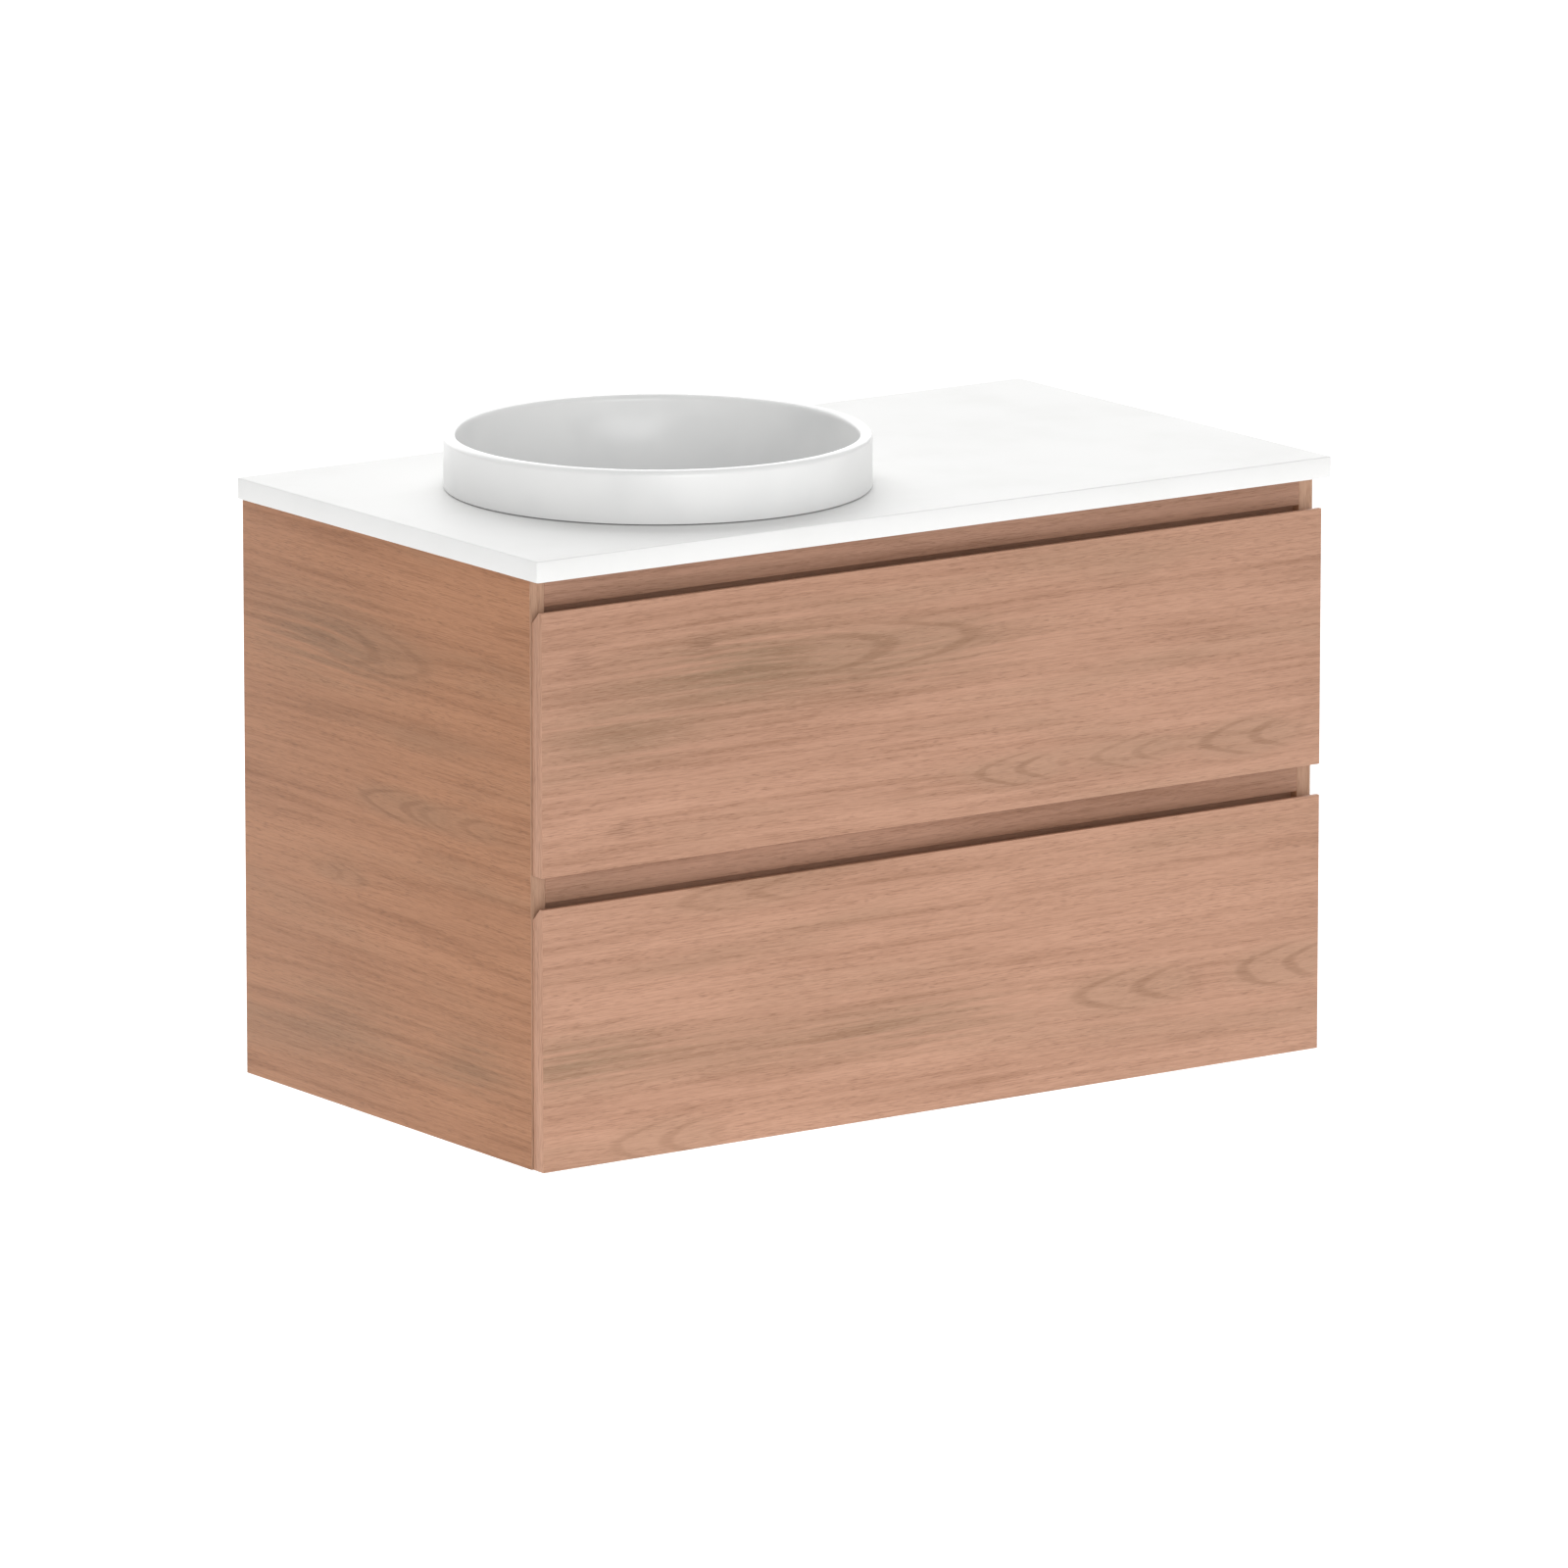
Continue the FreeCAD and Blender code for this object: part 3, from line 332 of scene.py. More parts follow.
@dataclass(frozen=True)
class Laminate:
    """Wood-grain laminate: straight streaks that bow round a few arches and knots."""

    name: str
    low: Vector
    high: Vector
    grain: Grain
    shade: float = 1.0
    seed: float = 0.0
    arches: tuple[Figure, ...] = ()
    knots: tuple[Figure, ...] = ()
    clouds: tuple[Figure, ...] = ()
    light: str = "C3967D"
    dark: str = "8D6349"
    grey: str = "94795F"
    pore: str = "7A553F"
    drift: float = 0.014
    rings: float = 6.5
    bow: float = 0.45
    sway_pace: tuple[float, float] = (1.3, 4.5)
    tinge_pace: tuple[float, float] = (3.0, 22.0)
    tinge_seed: float = 40.0
    seed_spread: float = 9000.0
    relief: float = 0.00007

    def make(self) -> Material:
        """Builds the laminate's material.

        Returns:
            The material.
        """
        finish = Finish(self.name)
        along, over = self.grain.turned(*finish.place())
        swells, fans = {}, {}
        for figure in (*self.arches, *self.knots, *self.clouds):
            sideways, upwards = figure.offsets(along, over, self.low, self.high, self.grain)
            swells[figure] = ((sideways * sideways + upwards * upwards) * -1.0).shaped("EXPONENT")
            fans[figure] = upwards * upwards + sideways
        slow, fast = self.sway_pace
        sway = finish.noise(finish.vector(along * slow, over * fast, self.seed), detail=1.0) - 0.5
        straight = over + sway * self.drift
        flow = straight
        for figure in (*self.arches, *self.knots):
            flow = flow + swells[figure] * (figure.height * self.bow)

        def streaks(across: Signal, kind: Streak) -> Signal:
            """Draws a noise out along the grain.

            Args:
                across: The coordinate across the grain.
                kind: The streaks' sizes.

            Returns:
                A value about a half.
            """
            length, width, detail = kind.value
            seed = self.seed + width * self.seed_spread
            at = finish.vector(along * (1 / length), across * (1 / width), seed)
            return finish.noise(at, detail=detail)

        broad = streaks(flow, Streak.BROAD)
        band = streaks(flow, Streak.BAND)
        thread = streaks(flow, Streak.THREAD)
        fibre = streaks(straight, Streak.FIBRE)
        pores = streaks(straight, Streak.PORE).ramp(0.56, 0.76)
        flecks = streaks(straight, Streak.FLECK).ramp(0.58, 0.78)
        slow, fast = self.tinge_pace
        seed = self.seed + self.tinge_seed
        tinge = finish.noise(finish.vector(along * slow, flow * fast, seed), detail=2.0)

        light, dark = paint(self.light, self.shade), paint(self.dark, self.shade)
        grey = paint(self.grey, self.shade)
        colour = finish.mix(broad.ramp(0.30, 0.72) * 0.22, light, dark)
        colour = finish.mix(tinge.ramp(0.50, 0.78) * 0.30, colour, grey)
        for cloud in self.clouds:
            colour = finish.mix(swells[cloud] * (band.ramp(0.25, 0.60) * cloud.strength), colour, grey)
        colour = finish.mix(band.ramp(0.42, 0.78) * (broad.ramp(0.30, 0.62) * 0.48), colour, dark)
        colour = finish.mix(thread.ramp(0.45, 0.78) * 0.30, colour, dark)
        colour = finish.mix(fibre.ramp(0.42, 0.78) * 0.38, colour, dark)
        for arch in self.arches:
            shows = swells[arch].ramp(0.08, 0.60) * arch.strength
            rings = (fans[arch] * self.rings + broad * 5.0).shaped("SINE").ramp(0.30, 1.0)
            colour = finish.mix(shows * 0.30, colour, grey)
            colour = finish.mix(shows * (rings * 0.34), colour, dark)
            colour = finish.mix(shows * ((1.0 - rings) * 0.22), colour, light)
        colour = finish.mix(flecks * 0.34, colour, paint(self.light, self.shade * 1.16))
        colour = finish.mix(pores * (band.ramp(0.30, 0.60) * 0.40), colour, paint(self.pore, self.shade))
        for knot in self.knots:
            smudge = swells[knot] * (fibre.ramp(0.30, 0.70) * (0.60 * knot.strength))
            colour = finish.mix(smudge, colour, paint(self.pore, self.shade))
        height = 1.0 - (pores * 0.7 + fibre.ramp(0.4, 0.8) * 0.3)
        return finish.close(height, self.relief, Base_Color=colour, Roughness=0.50 + band * 0.12,
                            Specular_IOR_Level=0.35)


@dataclass(frozen=True)
class LinenBoard:
    """Pale carcass board printed with a fine woven linen."""

    name: str = "linen_board"
    weft: str = "CBC5BB"
    warp: str = "B4ADA1"
    thread: float = 0.0008
    stretch: float = 9.0
    relief: float = 0.00002

    def make(self) -> Material:
        """Builds the board's material.

        Returns:
            The material.
        """
        finish = Finish(self.name)
        place = finish.place()
        fine, drawn = 1 / self.thread, 1 / (self.thread * self.stretch)
        woven = [
            finish.noise(finish.vector(*(value * (drawn if axis == way else fine)
                                         for axis, value in enumerate(place))), detail=1.0)
            for way in range(3)
        ]
        cloth = (woven[0] + woven[1] + woven[2]) * (1 / 3)
        cloud = finish.noise(finish.vector(*place), 6.0, 3.0)
        colour = finish.mix(cloth.ramp(0.42, 0.60), paint(self.weft), paint(self.warp))
        colour = finish.mix(cloud.ramp(0.4, 0.9) * 0.25, colour, paint(self.warp, 0.92))
        return finish.close(cloth, self.relief, Base_Color=colour, Roughness=0.46 + cloth * 0.16)


@dataclass(frozen=True)
class CastStone:
    """Smooth white cast worktop, satin, with a barely mottled and specked body."""

    name: str = "cast_white_top"
    body: str = "ECECEB"
    cloud: str = "E7E7E5"
    relief: float = 0.00002

    def make(self) -> Material:
        """Builds the worktop's material.

        Returns:
            The material.
        """
        finish = Finish(self.name)
        place = finish.vector(*finish.place())
        mottle = finish.noise(place, 9.0, 4.0, 0.6)
        speck = finish.noise(place, 520.0, 1.0)
        colour = finish.mix(mottle.ramp(0.42, 0.75) * 0.55, paint(self.body), paint(self.cloud))
        colour = finish.mix(speck.ramp(0.66, 0.80) * 0.20, colour, paint(self.cloud, 0.93))
        sheen = 0.52 + mottle * 0.14
        return finish.close(speck, self.relief, Base_Color=colour, Roughness=sheen, Specular_IOR_Level=0.12)


@dataclass(frozen=True)
class MattGlaze:
    """Matt white basin glaze with the slow ripple, fine orange peel and pinholes of a fired piece, and
    painted shade that darkens it down into the bowl.
    """

    name: str = "matt_white_glaze"
    body: str = "EDEDEC"
    # A greyer tone: the ripple and pinholes take it, and so does the painted shade that darkens the glaze
    # into the bowl.
    tone_and_shade: str = "DADBDB"
    floor: float = 0.5
    # Heights above the bowl's floor where the painted shade starts and where it is full.
    shade_starts: float = 0.118
    shade_full: float = 0.020
    relief: float = 0.00010

    def make(self) -> Material:
        """Builds the glaze's material.

        Returns:
            The material.
        """
        finish = Finish(self.name)
        x, y, z = finish.place()
        place = finish.vector(x, y, z)
        ripple = finish.noise(place, 14.0, 2.0)
        peel = finish.noise(place, 900.0, 1.0)
        pinholes = finish.cells(place, 160.0).ramp(0.05, 0.015)
        # Painted shade: darker from just under the rim down to near the bowl's floor, in the bowl and on the
        # outer wall above the worktop.
        depth = z.ramp(self.floor + self.shade_starts, self.floor + self.shade_full)
        colour = finish.mix(ripple.ramp(0.35, 0.75) * 0.35, paint(self.body), paint(self.tone_and_shade))
        colour = finish.mix(depth * 0.60, colour, paint(self.tone_and_shade, 0.97))
        colour = finish.mix(pinholes * 0.18, colour, paint(self.tone_and_shade, 0.80))
        height = ripple * 0.7 + peel * 0.2 - pinholes * 0.1
        return finish.close(height, self.relief, Base_Color=colour, Roughness=0.30 + peel * 0.12,
                            Coat_Weight=0.18 + ripple * 0.1, Coat_Roughness=0.22)


class Sheen(Enum):
    """How a metal fitting is finished."""

    POLISHED = "polished"
    SPANGLED = "spangled"
    PLATED = "plated"


@dataclass(frozen=True)
class Metal:
    """Bare or plated metal: polished chrome, spangled galvanised sheet or zinc-plated screws."""

    name: str
    sheen: Sheen
    bright: str
    dull: str
    rough: float
    scale: float
    relief: float = 0.00002

    def make(self) -> Material:
        """Builds the metal's material.

        Returns:
            The material.
        """
        finish = Finish(self.name)
        place = finish.vector(*finish.place())
        cloud = finish.noise(place, self.scale, 3.0)
        mark = cloud
        if self.sheen is Sheen.SPANGLED:
            crystals = finish.cells(place, self.scale * 2.5, "Color")
            mark = finish.node("ShaderNodeSeparateColor", None, {0: crystals}) * 0.8 + cloud * 0.2
        if self.sheen is Sheen.POLISHED:
            mark = cloud.ramp(0.55, 0.85)
        hairline = finish.noise(place, self.scale * 30, 2.0, 0.7)
        colour = finish.mix(mark, paint(self.bright), paint(self.dull))
        rough = self.rough + mark * (self.rough * 0.7) + hairline * (self.rough * 0.4)
        return finish.close(hairline, self.relief, Base_Color=colour, Metallic=1.0, Roughness=rough)


@dataclass(frozen=True)
class Moulded:
    """Moulded plastic or rubber with a spark-eroded stipple, flow marks and rubbed high spots."""

    name: str
    body: str
    rubbed: str
    rough: float
    grit: float = 1500.0
    relief: float = 0.00008

    def make(self) -> Material:
        """Builds the moulding's material.

        Returns:
            The material.
        """
        finish = Finish(self.name)
        x, y, z = finish.place()
        place = finish.vector(x, y, z)
        stipple = finish.noise(place, self.grit, 2.0, 0.6)
        flow = finish.noise(finish.vector(x * 30.0, y * 30.0, z * 90.0), 1.0, 2.0)
        colour = finish.mix(flow.ramp(0.35, 0.80) * 0.5, paint(self.body), paint(self.body, 0.82))
        colour = finish.mix(stipple.ramp(0.60, 0.78) * 0.35, colour, paint(self.rubbed))
        return finish.close(stipple, self.relief, Base_Color=colour, Roughness=self.rough + stipple * 0.14)


def shared(finish: Union[LinenBoard, Metal, Moulded]) -> Material:
    """Gives a field that builds its finish with the palette."""
    return field(default_factory=finish.make)


@dataclass
class Palette:
    """The finishes that several sub-assemblies share."""

    board: Material = shared(LinenBoard())
    chrome: Material = shared(Metal("chrome", Sheen.POLISHED, "E3E5E7", "CBCED1", 0.09, 24.0))
    galvanised: Material = shared(Metal("galvanised", Sheen.SPANGLED, "C3C7CA", "8F9498", 0.30, 60.0))
    zinc: Material = shared(Metal("zinc_plate", Sheen.PLATED, "CFCFC6", "A6A69C", 0.28, 120.0))
    rubber: Material = shared(Moulded("black_rubber", "1F1F20", "3A3A3B", 0.68, 900.0))
    white_plastic: Material = shared(Moulded("white_plastic", "D9DAD8", "ECECEA", 0.38))
    catch_plastic: Material = shared(Moulded("grey_plastic", "6F7376", "8D9194", 0.45))
    lever_plastic: Material = shared(Moulded("orange_plastic", "C4622B", "D98048", 0.42))


# -------------------------------------------------------------------- meshes


def footprint(low: Vector, high: Vector) -> list[tuple[float, float]]:
    """Gives the four corners of a box, from above."""
    return [(low.x, low.y), (high.x, low.y), (high.x, high.y), (low.x, high.y)]


def moulded(bm: bmesh.types.BMesh, mesh: Mesh, smooth: float) -> Mesh:
    """Merges a shape's doubles, turns its faces outwards and writes it to a mesh.

    Args:
        bm: The shape, which is used up.
        mesh: The mesh that takes it.
        smooth: The angle in degrees past which an edge stays sharp.

    Returns:
        The same mesh.
    """
    bmesh.ops.remove_doubles(bm, verts=bm.verts, dist=MERGE)
    bmesh.ops.recalc_face_normals(bm, faces=bm.faces)
    bm.to_mesh(mesh)
    bm.free()
    mesh.shade_smooth()
    mesh.set_sharp_from_angle(angle=math.radians(smooth))
    return mesh


class Mould:
    """A closed mesh in the making, built from rings of points."""

    def __init__(self) -> None:
        """Starts with nothing."""
        self.bm = bmesh.new()

    def ring(self, points: Iterable[Vector]) -> Ring:
        """Adds one ring of points."""
        return [self.bm.verts.new(point) for point in points]

    def skin(self, rings: Sequence[Ring], closed: bool = False) -> None:
        """Stretches faces from each ring to the next.

        Args:
            rings: Rings of as many points each, or of one point at a pole.
            closed: Whether the last ring meets the first.
        """
        follows = list(zip(rings, rings[1:])) + ([(rings[-1], rings[0])] if closed else [])
        for one, other in follows:
            count = max(len(one), len(other))
            for i in range(count):
                j = (i + 1) % count
                corners = [one[i % len(one)], one[j % len(one)], other[j % len(other)], other[i % len(other)]]
                self.bm.faces.new(dict.fromkeys(corners))

    def prism(self, outline: Points, place: Callable[[float, float, float], Vector],
              start: float, end: float) -> "Mould":
        """Adds a bar with that outline.

        Args:
            outline: The outline's points.
            place: Turns an outline point and a length into a place.
            start: Where the bar starts.
            end: Where it ends.

        Returns:
            The mould itself.
        """
        rings = [self.ring(place(a, b, length) for a, b in outline) for length in (start, end)]
        self.skin(rings)
        for ring in rings:
            self.bm.faces.new(ring)
        return self

    def block(self, low: Vector, high: Vector) -> "Mould":
        """Adds a plain board between two corners."""
        return self.prism(footprint(low, high), lambda x, y, z: Vector((x, y, z)), low.z, high.z)

    def eased(self, width: float, segments: int = 2, least: float = 30.0) -> "Mould":
        """Rounds every edge that is sharper than an angle.

        Args:
            width: The rounding's width.
            segments: How many faces it has.
            least: The least angle in degrees.

        Returns:
            The mould itself.
        """
        bmesh.ops.recalc_face_normals(self.bm, faces=self.bm.faces)
        sharp = [e for e in self.bm.edges if e.calc_face_angle(0.0) > math.radians(least)]
        bmesh.ops.bevel(self.bm, geom=sharp, offset=width, segments=segments, affect="EDGES",
                        profile=0.5, clamp_overlap=True)
        return self

    def turn(self, profile: Points, place: Matrix, steps: int, flats: int = 0) -> list[Ring]:
        """Adds a ring about an axis for each point of a profile.

        Args:
            profile: Points as a radius and a height. A point at radius 0 is a pole.
            place: The axis: its Z, and its foot.
            steps: How many points go round.
            flats: How many flats a negative radius is cut to, measured to their corners.

        Returns:
            The rings.
        """
        def reach(radius: float, angle: float) -> float:
            """Gives the radius at an angle, shortened along the flats of a nut."""
            half = math.pi / max(flats, 1)
            return radius if radius >= 0 else -radius * math.cos(half) / math.cos(angle % (2 * half) - half)

        rings = []
        for radius, height in profile:
            turns = [math.tau * step / steps for step in range(steps if radius else 1)]
            rings.append(self.ring(
                place @ Vector((reach(radius, a) * math.cos(a), reach(radius, a) * math.sin(a), height))
                for a in turns
            ))
        return rings

    def lathe(self, profile: Points, place: Matrix, steps: int = 96, closed: bool = True,
              flats: int = 0) -> "Mould":
        """Turns a profile, as turn does, into a solid. It is closed where the profile meets itself."""
        self.skin(self.turn(profile, place, steps, flats), closed)
        return self

    def mesh(self, name: str, smooth: float = 40.0) -> Mesh:
        """Ends the mould in a new mesh, sharp past that angle in degrees."""
        return moulded(self.bm, bpy.data.meshes.new(name), smooth)


def rounded(corners: Sequence[tuple[float, ...]], steps: int = 6) -> list[tuple[float, float]]:
    """Rounds the corners of a closed outline with arcs.

    Args:
        corners: Each corner's two coordinates, and its radius where it has one.
        steps: How many straight pieces an arc has.

    Returns:
        The outline's points.
    """
    points = []
    for index, corner in enumerate(corners):
        here = Vector(corner[:2])
        if len(corner) == 2:
            points.append(tuple(here))
            continue
        back = (Vector(corners[index - 1][:2]) - here).normalized()
        ahead = (Vector(corners[(index + 1) % len(corners)][:2]) - here).normalized()
        half = back.angle(ahead) / 2
        centre = here + (back + ahead).normalized() * corner[2] / math.sin(half)
        first = here + back * corner[2] / math.tan(half) - centre
        last = here + ahead * corner[2] / math.tan(half) - centre
        sweep = -first.angle_signed(last)
        for step in range(steps + 1):
            points.append(tuple(centre + Matrix.Rotation(sweep * step / steps, 2) @ first))
    return points


def curve(ends: Points, steps: int) -> list[tuple[float, float]]:
    """Draws a cubic curve.

    Args:
        ends: Its four control points.
        steps: How many straight pieces it has.

    Returns:
        Points from the first control point to the last.
    """
    a, b, c, d = (Vector(end) for end in ends)
    shares = [step / steps for step in range(steps + 1)]
    return [tuple(a * (1 - s) ** 3 + b * 3 * s * (1 - s) ** 2 + c * 3 * s * s * (1 - s) + d * s ** 3)
            for s in shares]


def flat_sides(*axes: int) -> Callable[[Vector], int]:
    """Gives a rule that puts the second finish on faces square to those axes."""
    return lambda normal: int(max(range(3), key=lambda axis: abs(normal[axis])) in axes)


def install(mesh: Mesh, body: str, nodes: Sequence[str],
            finishes: Sequence[Material],
            side: Callable[[Vector], int] = lambda normal: 0) -> bpy.types.Object:
    """Puts a finished mesh on its body.

    Args:
        mesh: The mesh, whose name the piece takes.
        body: The body that it moves with.
        nodes: The engineering nodes that it stands for.
        finishes: Its materials.
        side: Picks the material of a face by its normal.

    Returns:
        The piece.
    """
    mesh.materials.clear()
    for finish in finishes:
        mesh.materials.append(finish)
    for face in mesh.polygons:
        face.material_index = side(face.normal)
    piece = bpy.data.objects.new(mesh.name, mesh)
    bpy.context.scene.collection.objects.link(piece)
    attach(piece, body)
    if nodes:
        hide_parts(*nodes)
    log.info("%s: %d faces on %s", piece.name, len(mesh.polygons), body)
    return piece


def dress(nodes: Iterable[str], finish: Material) -> None:
    """Gives carried-over nodes their finish.

    Args:
        nodes: The nodes' names.
        finish: The finish.
    """
    for name in nodes:
        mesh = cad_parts[name].data
        mesh.materials.clear()
        mesh.materials.append(finish)
        log.info("%s: carried over as %s", name, finish.name)


def axis(node: str, lying: bool = False) -> Matrix:
    """Finds the axis of a round node.

    Args:
        node: The node's name.
        lying: Whether the axis runs from its near end to the wall instead of from its foot up.

    Returns:
        The placing of a shape that stands on its own Z.
    """
    low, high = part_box(node)
    middle = (low + high) / 2
    if lying:
        return Matrix.Translation((middle.x, low.y, middle.z)) @ UP_TO_BACK
    return Matrix.Translation((middle.x, middle.y, low.z))


def solids(node: str) -> list[tuple[Vector, Vector]]:
    """Gives the box of each loose solid of a node.

    Args:
        node: The node's name.

    Returns:
        The lowest and highest corner of each solid.
    """
    bm = bmesh.new()
    bm.from_mesh(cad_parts[node].data)
    bmesh.ops.remove_doubles(bm, verts=bm.verts, dist=MERGE)
    waiting = set(bm.verts)
    boxes = []
    while waiting:
        group, edge = set(), [waiting.pop()]
        while edge:
            vert = edge.pop()
            group.add(vert)
            edge.extend(o for e in vert.link_edges if (o := e.other_vert(vert)) in waiting)
            waiting.difference_update(edge)
        corners = [[pick(v.co[axis] for v in group) for axis in range(3)] for pick in (min, max)]
        boxes.append((Vector(corners[0]), Vector(corners[1])))
    bm.free()
    return sorted(boxes, key=lambda box: tuple(box[0]))


# ------------------------------------------------------------ geometry nodes


class Pattern(Graph):
    """A geometry tree with named inputs, whose result is kept as a plain mesh."""

    def __init__(self, name: str) -> None:
        """Starts a tree that takes a host mesh and a finish.

        Args:
            name: The tree's name.
        """
        super().__init__(bpy.data.node_groups.new(name, "GeometryNodeTree"))
        self.inlet = self.tree.nodes.new("NodeGroupInput")
        self.host = self.given("Host", "NodeSocketGeometry")
        self.finish = self.given("Finish", "NodeSocketMaterial")

    def given(self, name: str, kind: str) -> Signal:
        """Adds a named input to the tree."""
        item = self.tree.interface.new_socket(name, in_out="INPUT", socket_type=kind)
        return Signal(self, self.find(self.inlet.outputs, item.identifier))

    def end(self, shape: Signal) -> None:
        """Ends the tree: its copies are made real and take the finish.

        Args:
            shape: The geometry that it gives.
        """
        real = self.node("GeometryNodeRealizeInstances", None, {0: shape})
        dressed = self.node("GeometryNodeSetMaterial", None, {"Geometry": real, "Material": self.finish})
        self.tree.interface.new_socket("Shape", in_out="OUTPUT", socket_type="NodeSocketGeometry")
        outlet = self.tree.nodes.new("NodeGroupOutput")
        self.tree.links.new(dressed.socket, outlet.inputs[0])

    def grown(self, name: str, host: Mesh, values: dict[str, object]) -> Mesh:
        """Runs the tree on a host.

        Args:
            name: The name of the result.
            host: The host mesh.
            values: The named inputs.

        Returns:
            The result as a plain mesh.
        """
        carrier = bpy.data.objects.new(name + "_host", host)
        bpy.context.scene.collection.objects.link(carrier)
        modifier = carrier.modifiers.new(name, "NODES")
        modifier.node_group = self.tree
        for item in self.tree.interface.items_tree:
            if item.name in values:
                modifier[item.identifier] = values[item.name]
        bpy.context.view_layer.update()
        shape = carrier.evaluated_get(bpy.context.evaluated_depsgraph_get())
        mesh = bpy.data.meshes.new_from_object(shape)
        mesh.name = name
        carrier.modifiers.clear()
        bpy.data.objects.remove(carrier)
        return mesh


def settled(mesh: Mesh, place: Matrix, smooth: float) -> Mesh:
    """Places, turns outwards and shades a grown mesh.

    Args:
        mesh: The mesh.
        place: Where it goes.
        smooth: The angle in degrees past which an edge stays sharp.

    Returns:
        The same mesh.
    """
    bm = bmesh.new()
    bm.from_mesh(mesh)
    moulded(bm, mesh, smooth).transform(place)
    return mesh


class Scatter(Pattern):
    """Sets a copy of one piece on each point of a host, turned to that point's facing."""

    def __init__(self) -> None:
        """Builds the tree."""
        super().__init__("scatter")
        part = self.given("Part", "NodeSocketObject")
        size = self.given("Size", "NodeSocketFloat")
        shape = self.node("GeometryNodeObjectInfo", None, {"Object": part}, "Geometry")
        facing = self.node("GeometryNodeInputNamedAttribute", {"data_type": "FLOAT_VECTOR"},
                           {"Name": "facing"}, "Attribute")
        turn = self.node("FunctionNodeAlignRotationToVector", {"axis": "Z"}, {"Vector": facing})
        sockets = {"Points": self.host, "Instance": shape, "Rotation": turn, "Scale": size}
        self.end(self.node("GeometryNodeInstanceOnPoints", None, sockets))

    def spread(self, name: str, part: Mesh, spots: Sequence[tuple[Vector, Vector]],
               finish: Material) -> Mesh:
        """Spreads a part over its spots.

        Args:
            name: The name of the result.
            part: The part, which stands on its own Z.
            spots: Each spot and the way the part faces there.
            finish: The finish of every copy.

        Returns:
            One mesh of all the copies.
        """
        host = bpy.data.meshes.new(name + "_spots")
        host.from_pydata([spot for spot, facing in spots], [], [])
        facings = host.attributes.new("facing", "FLOAT_VECTOR", "POINT")
        for index, (spot, facing) in enumerate(spots):
            facings.data[index].vector = facing
        model = bpy.data.objects.new(name + "_part", part)
        bpy.context.scene.collection.objects.link(model)
        mesh = self.grown(name, host, {"Part": model, "Size": 1.0, "Finish": finish})
        bpy.data.objects.remove(model)
        return mesh


class Turning(Pattern):
    """Turns a closed profile about an upright axis into one solid."""

    def __init__(self) -> None:
        """Builds the tree."""
        super().__init__("turning")
        steps = self.given("Steps", "NodeSocketInt")
        reach = self.given("Reach", "NodeSocketFloat")
        circle = self.node("GeometryNodeCurvePrimitiveCircle", None, {"Resolution": steps, "Radius": reach})
        outline = self.node("GeometryNodeMeshToCurve", None, {0: self.host})
        self.end(self.node("GeometryNodeCurveToMesh", None, {0: circle, 1: outline}))

    def turned(self, name: str, profile: Points, place: Matrix, steps: int,
               smooth: float, finish: Material) -> Mesh:
        """Turns one profile.

        Args:
            name: The name of the result.
            profile: Points as a radius and a height, going round the section.
            place: The axis: its Z, and its foot.
            steps: How many points go round.
            smooth: The angle in degrees past which an edge stays sharp.
            finish: The solid's finish.

        Returns:
            The solid as a plain mesh.
        """
        reach = min(radius for radius, height in profile)
        count = len(profile)
        host = bpy.data.meshes.new(name + "_profile")
        host.from_pydata([(radius - reach, -height, 0.0) for radius, height in profile],
                         [(index, (index + 1) % count) for index in range(count)], [])
        mesh = self.grown(name, host, {"Steps": steps, "Reach": reach, "Finish": finish})
        return settled(mesh, place, smooth)


class Knurl(Pattern):
    """A circle of upright half-round ribs for gripping."""

    def __init__(self) -> None:
        """Builds the tree."""
        super().__init__("knurl")
        count = self.given("Count", "NodeSocketInt")
        circle = self.given("Circle Radius", "NodeSocketFloat")
        girth = self.given("Rib Radius", "NodeSocketFloat")
        length = self.given("Rib Length", "NodeSocketFloat")
        ring = self.node("GeometryNodeMeshCircle", None, {"Vertices": count, "Radius": circle})
        rib = self.node("GeometryNodeMeshCylinder", None,
                        {"Vertices": 10, "Radius": girth, "Depth": length})
        self.end(self.node("GeometryNodeInstanceOnPoints", None, {"Points": ring, "Instance": rib}))

    def cut(self, name: str, place: Matrix, count: int, circle: float, girth: float, length: float,
            finish: Material) -> Mesh:
        """Makes one circle of ribs.

        Args:
            name: The name of the result.
            place: The circle's centre and axis.
            count: How many ribs there are.
            circle: The radius of the ribs' axes.
            girth: A rib's own radius.
            length: A rib's length.
            finish: Their finish.

        Returns:
            The ribs as one mesh.
        """
        values = {"Count": count, "Circle Radius": circle, "Rib Radius": girth, "Rib Length": length,
                  "Finish": finish}
        return settled(self.grown(name, bpy.data.meshes.new(name + "_host"), values), place, 50)


# ------------------------------------------------------------ sub-assemblies


